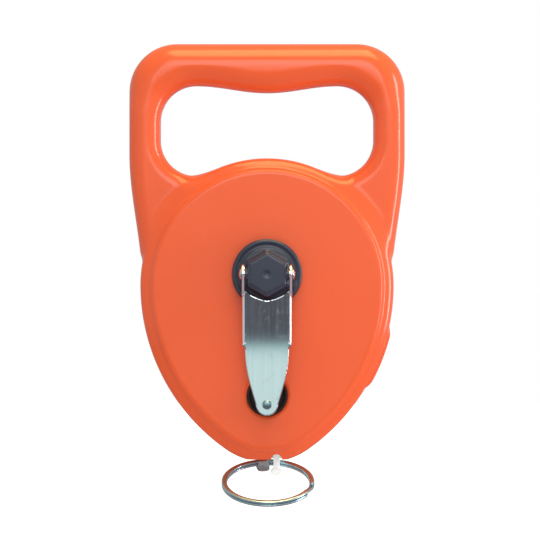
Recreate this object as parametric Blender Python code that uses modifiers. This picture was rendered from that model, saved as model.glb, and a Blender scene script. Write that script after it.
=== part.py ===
"""A closed-case surveyor's tape reel with a carrying handle, a fold-over crank and an end ring.

The reel is drawn lying on its back on a bench: x to the right, y towards the handle and z, the
"lift", up from the back face to the crank. One empty stands the bench upright, so that in the
world the crank side faces -Y and the handle is up. The origin is where the drum's axis meets
the back face. All sizes are in metres.
"""

import math

import bmesh
import bpy
from mathutils import Matrix, Vector

# ---------------------------------------------------------------- driving dimensions

# Case: a round top over the drum, two long flanks and a blunt nose that holds the mouth.
CASE_DEPTH = 0.036
WALL = 0.0024
SEAM = 0.0003  # gap left between the two shells
TOP_R = 0.0634
FLANK_R = 0.1005
NOSE_R = 0.036
CASE_DROP = 0.0055  # centre of the round top, below the drum's axis
MOUTH_Y = -0.0928  # flat end of the nose
FACE_ROUND = 0.0067
ARC_STEP = math.radians(7.5)

# Handle: a rounded frame, thinner than the case, one half on each shell.
HANDLE_HALF = 0.069
HANDLE_TOP = 0.1153
HANDLE_CORNER = 0.024
HANDLE_THICK = 0.026
HANDLE_ROUND = 0.0068
WAIST_HALF = 0.0625
LEG_TOP = 0.060
LEG_END = -0.006
GRIP_HALF = 0.0533
GRIP_TOP = 0.0942
GRIP_SAG = 0.0035
GRIP_BOTTOM = 0.0490
GRIP_CORNER = 0.018

# Raised pad on the right flank.
PAD_HEIGHT = 0.0015
PAD_WIDTH = 0.018
PAD_FROM = math.radians(-12)
PAD_TO = math.radians(-31)

# Tape and drum.
TAPE_WIDTH = 0.013
TAPE_THICK = 0.00035
TAPE_LIFT = 0.0158  # middle of the tape's width
TAPE_X = 0.0048  # where the tape runs straight to the mouth
CORE_R = 0.015
ANCHOR_R = 0.0012
COIL_R = 0.047
FLANGE_R = 0.051
FLANGE_THICK = 0.0015
FIT = 0.0003  # gap between pieces that lie on each other
RUNNING = 0.00018  # radial gap of a shaft in its bush

# Spindle and bushes.
SPINDLE_R = 0.004
SQUARE_OVER = 0.0003  # each face of the spool's square over the rear journal
TANG_THICK = 0.005
BUSH_WALL = 0.0018
BUSH_FLANGE = 0.0012
BUSH_SEAT_LEDGE = 0.0006  # under the rear bush, over the case's inner face
JOURNAL_STEP = 0.0010  # the rear journal is that much thinner
TANG_OVER = 0.0026  # tang above the crank's hinge line
DRAG_R = 0.0095
DRAG_BORE = 0.0016  # past half the square
DRAG_THICK = 0.0006
THRUST_R = 0.0062
LIGHTEN_R = 0.0024
LIGHTEN_AT = 0.0085

# Guide roller and throat.
ROLLER_R = 0.0035
ROLLER_Y = -0.0575
ROLLER_PIN_R = 0.0011
LINER_WALL = 0.0008
LINER_GAP_X = 0.0058
LINER_GAP_LIFT = 0.0148
LINER_TOP = -0.078
RING_CLEAR = 0.0007  # round the claw, in the groove across the nose

# Crank: heights are over the case's front face.
HUB_R = 0.0175
HUB_GAP = 0.0008
HUB_THICK = 0.0040
BOSS_R = 0.0116
BOSS_TOP = 0.0156
BOSS_CHAMFER = 0.0013
HINGE_LIFT = 0.0120
HINGE_PIN_R = 0.0018
ARM_HALF = 0.0125
ARM_SHEET = 0.0012
ARM_BEND_Y = -0.0350
ARM_FLAT_LIFT = 0.0105  # outer face of the flat blade
EAR_R = 0.0046
FLANGE_DROP = 0.0052
ARM_ROOT_Y = -0.0085  # where the sheet between the ears starts
ARM_STEP = 0.0028  # length of the step in at the bend
BLADE_BULGE = 0.0012
BLADE_HALF = 0.0104
TIP_HALF = 0.0054
KNOB_Y = -0.065
KNOB_R = 0.0056
KNOB_GAP = 0.0007
RIVET_HEAD_R = 0.0024
RIVET_R = 0.0014

# Well under the crank's tip.
WELL_Y = -0.0608
WELL_R = 0.0100
WELL_DEPTH = 0.0075
WELL_WALL = 0.0018
WELL_BEVEL = 0.0009
CUP_SHEET = 0.0009  # the black cup that lines the well
CUP_ROUND = 0.0012

# End tab, ring and claw.
TAB_THICK = 0.0032
TAB_TOP = -0.0845
TAB_END = -0.1008
TAB_HOLE_R = 0.0025
TAB_SLIT = 0.0060  # how far the tape's end goes into the tab
TAB_RIVET_R = 0.0007
TAB_RIVET_HEAD_R = 0.0012
TAB_RIVET_Y = TAB_TOP - 0.0028
TAB_RIVET_SPREAD = 0.0036
RING_HINGE_Y = -0.0948
RING_MEAN_R = 0.0219
RING_WIRE_R = 0.0016
RING_X = 0.0005
RING_TILT = math.radians(26)  # how far the ring dips below level, out in front of the case
CLAW_X = -0.0021
CLAW_WIDTH = 0.0062
CLAW_SHEET = 0.0007
CLAW_CLEAR = 0.0006
CLAW_LENGTH = 0.0075

# Screws.
SCREW_SPOTS = (
    (-0.0575, 0.101),
    (0.0575, 0.101),
    (-0.0565, 0.043),
    (0.0565, 0.043),
    (-0.033, -0.065),
    (0.033, -0.065),
)
SCREW_R = 0.0015
SCREW_HEAD_R = 0.0029
SCREW_HEAD_H = 0.0018
SCREW_LENGTH = 0.0195
SCREW_SINK = 0.0030
COLUMN_R = 0.0042

# ---------------------------------------------------------------- places worked out from them

SPLIT = CASE_DEPTH / 2
HANDLE_LOW = (CASE_DEPTH - HANDLE_THICK) / 2
HANDLE_HIGH = HANDLE_LOW + HANDLE_THICK
NOSE_SPAN = FLANK_R - NOSE_R
FLANK_X = FLANK_R - TOP_R
NOSE_Y = -CASE_DROP - math.sqrt(NOSE_SPAN**2 - FLANK_X**2)
NOSE_ANGLE = math.atan2(CASE_DROP + NOSE_Y, FLANK_X)
TAPE_LOW = TAPE_LIFT - TAPE_WIDTH / 2
TAPE_HIGH = TAPE_LIFT + TAPE_WIDTH / 2
REAR_FLANGE_LOW = TAPE_LOW - FIT - FLANGE_THICK
FRONT_FLANGE_LOW = TAPE_HIGH + FIT
HINGE_Z = CASE_DEPTH + HINGE_LIFT
REAR_JOURNAL_R = SPINDLE_R - JOURNAL_STEP
SPINDLE_SQUARE = 2 * (REAR_JOURNAL_R + SQUARE_OVER)
BUSH_R = SPINDLE_R + RUNNING + BUSH_WALL
REAR_BUSH_R = REAR_JOURNAL_R + RUNNING + BUSH_WALL
BOSS_FLAT = BOSS_R * math.cos(math.radians(30))
ROLLER_X = TAPE_X + TAPE_THICK / 2 + FIT / 2 + ROLLER_R
RING_GROOVE_R = RING_WIRE_R + CLAW_CLEAR + CLAW_SHEET + RING_CLEAR
RING_REACH = math.sqrt(RING_MEAN_R**2 - (TAPE_X - RING_X) ** 2)


# ---------------------------------------------------------------- tools

def clear_scene():
    for old in list(bpy.data.objects):
        bpy.data.objects.remove(old)


def collection(name):
    made = bpy.data.collections.new(name)
    bpy.context.scene.collection.children.link(made)
    return made


clear_scene()
PARTS = collection("surveyor_tape_reel")


def frame(name, at=(0, 0, 0), turn=(0, 0, 0), parent=None):
    """An empty that a body's pieces hang from, on that body's joint."""
    empty = bpy.data.objects.new(name, None)
    empty.empty_display_size = 0.01
    empty.location = at
    empty.rotation_euler = turn
    empty.parent = parent
    PARTS.objects.link(empty)
    return empty


def new_object(name, mesh, home):
    made = bpy.data.objects.new(name, mesh)
    made.parent = home
    PARTS.objects.link(made)
    return made


def baked(obj):
    """The object with its modifiers applied to its mesh."""
    bpy.context.view_layer.update()
    seen = obj.evaluated_get(bpy.context.evaluated_depsgraph_get())
    mesh = bpy.data.meshes.new_from_object(seen)
    obj.modifiers.clear()
    obj.data = mesh
    return obj


def tidy(mesh, within=1e-6):
    work = bmesh.new()
    work.from_mesh(mesh)
    bmesh.ops.remove_doubles(work, verts=work.verts, dist=within)
    bmesh.ops.recalc_face_normals(work, faces=work.faces)
    work.to_mesh(mesh)
    work.free()


def plate(name, loops, low, high, home, rounding=0.0, segments=2):
    """A flat outline, with any holes, between two lifts. Rounded rims swell out past the loops."""
    curve = bpy.data.curves.new(name + "_outline", "CURVE")
    curve.dimensions = "2D"
    curve.fill_mode = "BOTH"
    curve.extrude = (high - low) / 2 - rounding
    curve.bevel_depth = rounding
    curve.bevel_resolution = segments
    for loop in loops:
        spline = curve.splines.new("POLY")
        spline.points.add(len(loop) - 1)
        spline.use_cyclic_u = True
        for point, (x, y) in zip(spline.points, loop):
            point.co = (x, y, 0, 1)
    guide = bpy.data.objects.new(name + "_outline", curve)
    PARTS.objects.link(guide)
    bpy.context.view_layer.update()
    seen = guide.evaluated_get(bpy.context.evaluated_depsgraph_get())
    mesh = bpy.data.meshes.new_from_object(seen)
    bpy.data.objects.remove(guide)
    mesh.transform(Matrix.Translation((0, 0, (low + high) / 2)))
    tidy(mesh, 1e-5)
    return new_object(name, mesh, home)


def rod(name, radius, low, high, home, at=(0, 0), sides=32, end_radius=None):
    """A round bar along the lift."""
    work = bmesh.new()
    top = radius if end_radius is None else end_radius
    bmesh.ops.create_cone(
        work, cap_ends=True, segments=sides, radius1=radius, radius2=top, depth=high - low
    )
    mesh = bpy.data.meshes.new(name)
    work.to_mesh(mesh)
    work.free()
    mesh.transform(Matrix.Translation((at[0], at[1], (low + high) / 2)))
    return new_object(name, mesh, home)


def cross_rod(name, radius, left, right, lift, home, y=0.0, sides=24):
    """A round bar along x."""
    made = rod(name, radius, left, right, home, sides=sides)
    made.data.transform(Matrix.Rotation(math.pi / 2, 4, "Y"))
    made.data.transform(Matrix.Translation((0, y, lift)))
    return made


def block(name, low, high, home):
    work = bmesh.new()
    bmesh.ops.create_cube(work, size=1)
    size = Vector(high) - Vector(low)
    bmesh.ops.scale(work, vec=size, verts=work.verts)
    bmesh.ops.translate(work, vec=Vector(low) + size / 2, verts=work.verts)
    mesh = bpy.data.meshes.new(name)
    work.to_mesh(mesh)
    work.free()
    return new_object(name, mesh, home)


def turned(name, profile, home, at=(0, 0), steps=48):
    """A lathe profile of (radius, lift) points, listed from the top down the outer side."""
    mesh = bpy.data.meshes.new(name)
    count = len(profile)
    ring = profile[0][0] > 0
    edges = [(i, i + 1) for i in range(count - 1)] + ([(count - 1, 0)] if ring else [])
    mesh.from_pydata([(r, 0, z) for r, z in profile], edges, [])
    made = new_object(name, mesh, home)
    screw = made.modifiers.new("lathe", "SCREW")
    screw.steps = steps
    screw.render_steps = steps
    screw.use_merge_vertices = True
    screw.merge_threshold = 1e-6
    baked(made)
    made.data.transform(Matrix.Translation((at[0], at[1], 0)))
    tidy(made.data)
    return made


def sleeve(name, inner, outer, low, high, home, at=(0, 0), steps=32):
    return turned(name, [(inner, high), (outer, high), (outer, low), (inner, low)], home, at, steps)


def combine(target, pieces, operation):
    """Joins pieces to the target or cuts them from it, one after another, and removes them."""
    for piece in pieces:
        step = target.modifiers.new(operation.lower(), "BOOLEAN")
        step.operation = operation
        step.solver = "EXACT"
        step.object = piece
        baked(target)
        bpy.data.objects.remove(piece)
    return target


def join(target, *pieces):
    return combine(target, pieces, "UNION")


def carve(target, *cutters):
    return combine(target, cutters, "DIFFERENCE")


def round_edges(obj, width, segments, angle=30):
    rounding = obj.modifiers.new("rounding", "BEVEL")
    rounding.width = width
    rounding.segments = segments
    rounding.limit_method = "ANGLE"
    rounding.angle_limit = math.radians(angle)
    rounding.use_clamp_overlap = False
    return baked(obj)


def copy_of(obj, name, home):
    return new_object(name, obj.data.copy(), home)


def arc(x, y, radius, start, end, step=ARC_STEP):
    """Points on an arc from start to end, both included."""
    count = max(2, math.ceil(abs(end - start) / step))
    angles = [start + (end - start) * i / count for i in range(count + 1)]
    return [(x + radius * math.cos(a), y + radius * math.sin(a)) for a in angles]


def without_doubles(points):
    kept = []
    for point in points:
        if not kept or math.dist(point, kept[-1]) > 1e-6:
            kept.append(point)
    if math.dist(kept[0], kept[-1]) < 1e-6:
        kept.pop()
    return kept


def smoothstep(share):
    share = min(1.0, max(0.0, share))
    return share * share * (3 - 2 * share)


def finish(obj, name, colour, roughness, metallic=0.0):
    """Gives a piece its material and smooth round sides."""
    material = bpy.data.materials.get(name) or bpy.data.materials.new(name)
    material.use_nodes = True
    shader = material.node_tree.nodes["Principled BSDF"]
    shader.inputs["Base Color"].default_value = (*colour, 1)
    shader.inputs["Roughness"].default_value = roughness
    shader.inputs["Metallic"].default_value = metallic
    obj.data.materials.clear()
    obj.data.materials.append(material)
    obj.data.shade_smooth()
    obj.data.set_sharp_from_angle(angle=math.radians(32))
    return obj


def orange_plastic(obj):
    return finish(obj, "orange_plastic", (0.91, 0.13, 0.045), 0.35)


def black_plastic(obj):
    return finish(obj, "black_plastic", (0.02, 0.021, 0.026), 0.35)


def chrome(obj):
    return finish(obj, "chrome", (0.8, 0.82, 0.83), 0.12, 1.0)


def steel(obj):
    return finish(obj, "steel", (0.6, 0.6, 0.6), 0.35, 1.0)


def acetal(obj):
    return finish(obj, "acetal", (0.8, 0.79, 0.75), 0.4)


def grey_plastic(obj):
    return finish(obj, "grey_plastic", (0.25, 0.26, 0.27), 0.5)


def tape_print(obj):
    return finish(obj, "tape", (0.9, 0.78, 0.08), 0.5)


def white_nylon(obj):
    return finish(obj, "white_nylon", (0.86, 0.9, 0.9), 0.4)


# ---------------------------------------------------------------- outlines

def egg_outline(inset=0.0):
    """The case seen from the crank side, drawn from its right side round to the left and back."""
    top = arc(0, -CASE_DROP, TOP_R - inset, 0, math.pi)
    left = arc(FLANK_X, -CASE_DROP, FLANK_R - inset, math.pi, math.pi - NOSE_ANGLE)
    nose = arc(0, NOSE_Y, NOSE_R - inset, math.pi - NOSE_ANGLE, 2 * math.pi + NOSE_ANGLE)
    right = arc(-FLANK_X, -CASE_DROP, FLANK_R - inset, NOSE_ANGLE, 0)
    return without_doubles(top + left + nose + right)


def leg_half(y):
    """Half the handle's width, which narrows to the case's waist."""
    share = smoothstep((y - LEG_END) / (LEG_TOP - LEG_END))
    return WAIST_HALF + (HANDLE_HALF - WAIST_HALF) * share


def handle_outline(inset=0.0):
    heights = [LEG_END + (LEG_TOP - LEG_END) * i / 8 for i in range(9)]
    right = [(leg_half(y) - inset, y) for y in heights]
    centre_x = HANDLE_HALF - HANDLE_CORNER
    centre_y = HANDLE_TOP - HANDLE_CORNER
    corner = arc(centre_x, centre_y, HANDLE_CORNER - inset, 0, math.pi / 2)
    half = right + corner
    return without_doubles(half + [(-x, y) for x, y in reversed(half)])


def grip_outline(outset=0.0):
    """The finger hole: its top edge sags in the middle to fill the palm."""
    centre_x = GRIP_HALF - GRIP_CORNER
    low = arc(centre_x, GRIP_BOTTOM + GRIP_CORNER, GRIP_CORNER + outset, -math.pi / 2, 0)
    high = arc(centre_x, GRIP_TOP - GRIP_CORNER, GRIP_CORNER + outset, 0, math.pi / 2)
    wave = []
    for i in range(1, 6):
        x = centre_x * (1 - i / 6)
        dip = GRIP_SAG * (1 + math.cos(math.pi * x / centre_x)) / 2
        wave.append((x, GRIP_TOP + outset - dip))
    middle = [(0, GRIP_TOP + outset - GRIP_SAG)]
    half = low + high + wave
    return without_doubles(half + middle + [(-x, y) for x, y in reversed(half)])


def pad_outline():
    """A thin crescent along the right flank, sunk a little into it so that it joins."""
    outer = arc(-FLANK_X, -CASE_DROP, FLANK_R + PAD_HEIGHT, PAD_TO, PAD_FROM, ARC_STEP / 3)
    inner = arc(-FLANK_X, -CASE_DROP, FLANK_R - WALL / 2, PAD_FROM, PAD_TO, ARC_STEP / 3)
    return without_doubles(outer + inner)


# ---------------------------------------------------------------- the frames of the moving bodies

BENCH = frame("reel_upright", turn=(math.pi / 2, 0, 0))
CASE = frame("case_frame", parent=BENCH)
DRUM = frame("drum_axis", parent=BENCH)
CRANK = frame("crank_hinge", at=(0, 0, HINGE_Z), parent=DRUM)
KNOB = frame("knob_axis", at=(0, KNOB_Y, 0), parent=CRANK)
TAPE = frame("tape_way", at=(TAPE_X, 0, TAPE_LIFT), parent=BENCH)
RING = frame("ring_hinge", at=(0, RING_HINGE_Y, 0), parent=TAPE)
ROLLER = frame("roller_axis", at=(ROLLER_X, ROLLER_Y, 0), parent=BENCH)


# ---------------------------------------------------------------- case

def case_blank():
    """Both shells as one hollow body, before it is parted at the seam."""
    case = plate("case", [egg_outline(FACE_ROUND)], 0, CASE_DEPTH, CASE, FACE_ROUND)
    loops = [handle_outline(HANDLE_ROUND), grip_outline(HANDLE_ROUND)]
    handle = plate("handle", loops, HANDLE_LOW, HANDLE_HIGH, CASE, HANDLE_ROUND)
    pad_low = SPLIT - PAD_WIDTH / 2
    pad = plate("pad", [pad_outline()], pad_low, pad_low + PAD_WIDTH, CASE)
    join(case, handle, pad)
    chamber_rim = FACE_ROUND - WALL
    chamber = plate(
        "chamber", [egg_outline(FACE_ROUND)], WALL, CASE_DEPTH - WALL, CASE, chamber_rim, segments=0
    )
    handle_low, handle_high = HANDLE_LOW + WALL, HANDLE_HIGH - WALL
    room_rim = HANDLE_ROUND - WALL
    handle_room = plate("handle_room", loops, handle_low, handle_high, CASE, room_rim, segments=0)
    drum_wall = plate("drum_wall", [egg_outline()], 0, CASE_DEPTH, CASE)
    carve(handle_room, drum_wall)
    carve(case, chamber, handle_room)
    reach = NOSE_R
    throat_low = throat_corner(-1, WALL * 3)[:2] + (WALL / 2,)
    throat_high = throat_corner(1, WALL * 3)[:2] + (CASE_DEPTH - WALL / 2,)
    throat = block("throat", throat_low, throat_high, CASE)
    envelope = plate(
        "envelope", [egg_outline(FACE_ROUND)], WALL / 2, CASE_DEPTH - WALL / 2, CASE, FACE_ROUND - WALL / 2
    )
    join(case, combine(throat, [envelope], "INTERSECT"))
    carve(case, block("nose_end", (-reach, MOUTH_Y - reach, -reach), (reach, MOUTH_Y, reach * 2), CASE))
    slot_gap = LINER_WALL + FIT
    low, high = throat_corner(-1, slot_gap), throat_corner(1, slot_gap)
    carve(case, block("slot", (low[0], -0.2, low[2]), high, CASE))
    notch_r = LINER_GAP_X * 0.7
    notch = rod("notch", notch_r, TAPE_LIFT, CASE_DEPTH * 2, CASE, (TAPE_X, MOUTH_Y), 24)
    return carve(case, notch, ring_groove())


def ring_groove():
    return cross_rod("ring_groove", RING_GROOVE_R, -NOSE_R, NOSE_R, TAPE_LIFT, CASE, RING_HINGE_Y)


def throat_corner(side, margin):
    """A corner of the throat's block or slot: the liner's opening grown by a margin."""
    x = TAPE_X + side * (LINER_GAP_X / 2 + margin)
    y = LINER_TOP if side > 0 else MOUTH_Y - WALL
    half = LINER_GAP_LIFT / 2 + margin
    lift = TAPE_LIFT + side * half
    return (x, y, lift)


def on_handle(spot):
    """Whether a screw stands in the handle, where the shells are thinner, or in the case."""
    return spot[1] > 0


def rear_skin(spot):
    return HANDLE_LOW if on_handle(spot) else 0.0


def front_skin(spot):
    return HANDLE_HIGH if on_handle(spot) else CASE_DEPTH


def front_shell(blank):
    shell = copy_of(blank, "front_shell", CASE)
    far = 1.0
    carve(shell, block("rear_half", (-far, -far, -far), (far, far, SPLIT + SEAM / 2), CASE))
    low = SPLIT + SEAM / 2
    for spot in SCREW_SPOTS:
        join(shell, rod("column", COLUMN_R, low, front_skin(spot) - WALL / 2, CASE, spot, 20))
    inner = CASE_DEPTH - WALL / 2
    join(shell, rod("bearing", BUSH_R + WALL, CASE_DEPTH - WALL * 2, inner, CASE))
    well_floor = CASE_DEPTH - WELL_DEPTH
    cup = rod("cup", WELL_R + WELL_WALL, well_floor - WELL_WALL, inner, CASE, (0, WELL_Y))
    boss_low, boss_high = TAPE_HIGH + FIT * 3, well_floor - WELL_WALL / 2
    pin_boss = rod("pin_boss", ROLLER_PIN_R + WALL / 2, boss_low, boss_high, CASE, (ROLLER_X, ROLLER_Y), 16)
    join(shell, cup, pin_boss)
    well = turned(
        "well",
        [
            (0, CASE_DEPTH + WALL),
            (WELL_R + WELL_WALL, CASE_DEPTH + WALL),
            (WELL_R + WELL_BEVEL, CASE_DEPTH),
            (WELL_R + FIT / 2, CASE_DEPTH - WELL_BEVEL),
            (WELL_R + FIT / 2, well_floor),
            (0, well_floor),
        ],
        CASE,
        (0, WELL_Y),
    )
    carve(shell, well)
    carve(shell, rod("bush_seat", BUSH_R + FIT / 2, SPLIT, CASE_DEPTH * 2, CASE))
    pin_hole = ROLLER_PIN_R + FIT / 2
    carve(shell, rod("pin_hole", pin_hole, SPLIT, roller_pin_top() + FIT, CASE, (ROLLER_X, ROLLER_Y), 16))
    for spot in SCREW_SPOTS:
        top = screw_tip(spot) + FIT
        carve(shell, rod("pilot", SCREW_R + FIT / 2, SPLIT, top, CASE, spot, 16))
    return orange_plastic(shell)


def rear_shell(blank):
    shell = copy_of(blank, "rear_shell", CASE)
    far = 1.0
    carve(shell, block("front_half", (-far, -far, SPLIT - SEAM / 2), (far, far, far), CASE))
    high = SPLIT - SEAM / 2
    for spot in SCREW_SPOTS:
        join(shell, rod("column", COLUMN_R, rear_skin(spot) + WALL / 2, high, CASE, spot, 20))
    seat_floor = WALL + BUSH_SEAT_LEDGE
    boss_top = REAR_FLANGE_LOW - 0.0022
    join(shell, rod("bearing", REAR_BUSH_R + WALL, WALL / 2, boss_top, CASE))
    roller_at = (ROLLER_X, ROLLER_Y)
    join(shell, rod("pin_boss", ROLLER_PIN_R + WALL, WALL / 2, TAPE_LOW - FIT * 3, CASE, roller_at, 20))
    carve(shell, rod("bush_seat", REAR_BUSH_R + FIT / 2, seat_floor, SPLIT, CASE))
    pin_hole = ROLLER_PIN_R + FIT / 2
    carve(shell, rod("pin_hole", pin_hole, roller_pin_low() - FIT, SPLIT, CASE, roller_at, 16))
    for spot in SCREW_SPOTS:
        skin = rear_skin(spot)
        carve(shell, rod("shank_hole", SCREW_R + FIT, skin - WALL, SPLIT, CASE, spot, 16))
        carve(shell, rod("head_hole", SCREW_HEAD_R + FIT, skin - WALL, skin + SCREW_SINK, CASE, spot, 20))
    return orange_plastic(shell)


def screw_seat(spot):
    return rear_skin(spot) + SCREW_SINK


def screw_tip(spot):
    return min(screw_seat(spot) + SCREW_LENGTH, front_skin(spot) - WALL - FIT)


def shell_screw(number, spot):
    """A pan-head screw with a cross recess, its head sunk in the rear shell."""
    seat = screw_seat(spot) - FIT / 2
    name = f"shell_screw_{number}"
    screw = turned(
        name,
        [
            (0, screw_tip(spot)),
            (SCREW_R * 0.4, screw_tip(spot)),
            (SCREW_R, screw_tip(spot) - SCREW_R),
            (SCREW_R, seat),
            (SCREW_HEAD_R, seat),
            (SCREW_HEAD_R, seat - SCREW_HEAD_H * 0.55),
            (SCREW_HEAD_R * 0.75, seat - SCREW_HEAD_H),
            (0, seat - SCREW_HEAD_H),
        ],
        CASE,
        spot,
        16,
    )
    arm, half = SCREW_HEAD_R * 0.62, SCREW_R * 0.22
    bottom, deep = seat - SCREW_HEAD_H * 2, seat - SCREW_HEAD_H * 0.4
    x, y = spot
    carve(
        screw,
        block("slot_a", (x - arm, y - half, bottom), (x + arm, y + half, deep), CASE),
        block("slot_b", (x - half, y - arm, bottom), (x + half, y + arm, deep), CASE),
    )
    return steel(screw)


def bushes():
    """Flanged acetal bushes: the front one sits in the bearing hole, the rear one in a blind seat."""
    inner = SPINDLE_R + RUNNING
    low = CASE_DEPTH - WALL * 2
    front = turned(
        "front_bush",
        [
            (inner, CASE_DEPTH - FIT),
            (BUSH_R, CASE_DEPTH - FIT),
            (BUSH_R, low - FIT),
            (BUSH_R + WALL * 0.8, low - FIT),
            (BUSH_R + WALL * 0.8, low - FIT - BUSH_FLANGE),
            (inner, low - FIT - BUSH_FLANGE),
        ],
        CASE,
        steps=40,
    )
    rear_floor = WALL + BUSH_SEAT_LEDGE + FIT
    rear_top = REAR_FLANGE_LOW - 0.0018
    rear = sleeve("rear_bush", REAR_JOURNAL_R + RUNNING, REAR_BUSH_R, rear_floor, rear_top, CASE, steps=40)
    return [acetal(front), acetal(rear)]


def knob_cup():
    """A black cup pressed into the well, where the folded crank's knob lies."""
    floor, rim = CASE_DEPTH - WELL_DEPTH + FIT, CASE_DEPTH - WELL_BEVEL
    inner = WELL_R - CUP_SHEET
    cup = turned(
        "knob_cup",
        [
            (0, floor + CUP_SHEET),
            (inner - CUP_ROUND, floor + CUP_SHEET),
            (inner, floor + CUP_SHEET + CUP_ROUND),
            (inner, rim - 0.0004),
            (inner + 0.0004, rim),
            (WELL_R, rim),
            (WELL_R, floor),
            (0, floor),
        ][::-1],
        CASE,
        (0, WELL_Y),
        steps=40,
    )
    return black_plastic(cup)


def throat_liner():
    """A folded steel sleeve that takes the wear where the tape leaves the nose."""
    half_x, half_lift = LINER_GAP_X / 2, LINER_GAP_LIFT / 2
    low = (TAPE_X - half_x - LINER_WALL, MOUTH_Y, TAPE_LIFT - half_lift - LINER_WALL)
    high = (TAPE_X + half_x + LINER_WALL, LINER_TOP - FIT, TAPE_LIFT + half_lift + LINER_WALL)
    liner = block("mouth_liner", low, high, CASE)
    way_low = (TAPE_X - half_x, MOUTH_Y - WALL, TAPE_LIFT - half_lift)
    way_high = (TAPE_X + half_x, LINER_TOP + WALL, TAPE_LIFT + half_lift)
    return steel(carve(liner, block("way", way_low, way_high, CASE), ring_groove()))


# ---------------------------------------------------------------- guide roller

def roller_pin_low():
    return WALL + FIT


def roller_pin_top():
    return CASE_DEPTH - WELL_DEPTH - WELL_WALL + WALL / 4


def guide_roller():
    """Turns the tape off the coil into the straight throat."""
    pin = rod("roller_pin", ROLLER_PIN_R, roller_pin_low(), roller_pin_top(), ROLLER, sides=20)
    low, high = TAPE_LOW - FIT, TAPE_HIGH + FIT
    roller = sleeve("guide_roller", ROLLER_PIN_R + RUNNING, ROLLER_R, low, high, ROLLER, steps=28)
    return [steel(pin), acetal(roller)]


# ---------------------------------------------------------------- drum

def spindle():
    """A steel spindle: rear journal, square for the spool, front journal and a flat tang."""
    rear_low = WALL + BUSH_SEAT_LEDGE + FIT
    made = rod("spindle", REAR_JOURNAL_R, rear_low, SPLIT, DRUM, sides=32)
    half = SPINDLE_SQUARE / 2
    square_low, square_high = REAR_FLANGE_LOW - 0.0010, FRONT_FLANGE_LOW + FLANGE_THICK + 0.0010
    square = block("square", (-half, -half, square_low), (half, half, square_high), DRUM)
    front = rod("front_journal", SPINDLE_R, square_high - 0.0007, CASE_DEPTH + HUB_GAP, DRUM)
    tang_half = TANG_THICK / 2
    tang_wide, tang_top = SPINDLE_R * 0.8, HINGE_Z + TANG_OVER
    tang = block("tang", (-tang_wide, -tang_half, CASE_DEPTH), (tang_wide, tang_half, tang_top), DRUM)
    join(made, square, front, tang)
    cross = HINGE_PIN_R + RUNNING
    return steel(carve(made, cross_rod("cross_hole", cross, -BOSS_R, BOSS_R, HINGE_Z, DRUM)))


def spool():
    """The core with its rear flange, and the front flange that snaps onto it."""
    rear_high = REAR_FLANGE_LOW + FLANGE_THICK
    rear = rod("spool", FLANGE_R, REAR_FLANGE_LOW, rear_high, DRUM, sides=72)
    core = rod("core", CORE_R, rear_high - 0.0005, FRONT_FLANGE_LOW - FIT, DRUM, sides=48)
    collar = rod("collar", CORE_R * 0.8, SPLIT, FRONT_FLANGE_LOW + FLANGE_THICK, DRUM, sides=40)
    join(rear, core, collar)
    half = SPINDLE_SQUARE / 2 + RUNNING
    carve(rear, block("square_hole", (-half, -half, -1), (half, half, 1), DRUM))
    lighten = [
        rod("lighten", LIGHTEN_R, -1, 1, DRUM, (LIGHTEN_AT * math.cos(a), LIGHTEN_AT * math.sin(a)), 16)
        for a in [math.radians(30 + 60 * i) for i in range(6)]
    ]
    carve(rear, *lighten)
    seat, top = CORE_R * 0.8 + FIT, FRONT_FLANGE_LOW + FLANGE_THICK
    front = sleeve("spool_front_flange", seat, FLANGE_R, FRONT_FLANGE_LOW, top, DRUM, steps=72)
    groove_at = (0, CORE_R - ANCHOR_R)
    groove = rod("anchor_groove", ANCHOR_R + FIT, TAPE_LOW, 1, DRUM, groove_at, 16)
    carve(rear, groove)
    return [grey_plastic(rear), grey_plastic(front)]


def tape_anchor():
    """A pin that traps the tape's inner loop in a groove of the core."""
    pin = rod("tape_anchor_pin", ANCHOR_R, TAPE_LOW + FIT, TAPE_HIGH - FIT, DRUM, (0, CORE_R - ANCHOR_R), 16)
    return steel(pin)


def tape_coil():
    return tape_print(sleeve("tape_coil", CORE_R + FIT, COIL_R, TAPE_LOW, TAPE_HIGH, DRUM, steps=72))


def drag_washer():
    """A sprung washer behind the spool that keeps the drum from running on."""
    low = REAR_FLANGE_LOW - 0.0016
    bore = SPINDLE_SQUARE / 2 + DRAG_BORE
    return steel(sleeve("drag_washer", bore, DRAG_R, low, low + DRAG_THICK, DRUM, steps=32))


def thrust_sleeve():
    """Keeps the spool from sliding up the spindle towards the front bush."""
    low = FRONT_FLANGE_LOW + FLANGE_THICK + 0.0013
    high = CASE_DEPTH - WALL * 2 - FIT * 2 - BUSH_FLANGE
    return acetal(sleeve("thrust_sleeve", SPINDLE_R + FIT, THRUST_R, low, high, DRUM, steps=32))


# ---------------------------------------------------------------- tape from the coil to the mouth

def ribbon(path, thick):
    """The outline of a strip of the given thickness along a path."""
    left, right = [], []
    for i, here in enumerate(path):
        before, after = path[max(0, i - 1)], path[min(len(path) - 1, i + 1)]
        dx, dy = after[0] - before[0], after[1] - before[1]
        size = math.hypot(dx, dy)
        nx, ny = -dy / size * thick / 2, dx / size * thick / 2
        left.append((here[0] + nx, here[1] + ny))
        right.append((here[0] - nx, here[1] - ny))
    return left + right[::-1]


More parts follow.
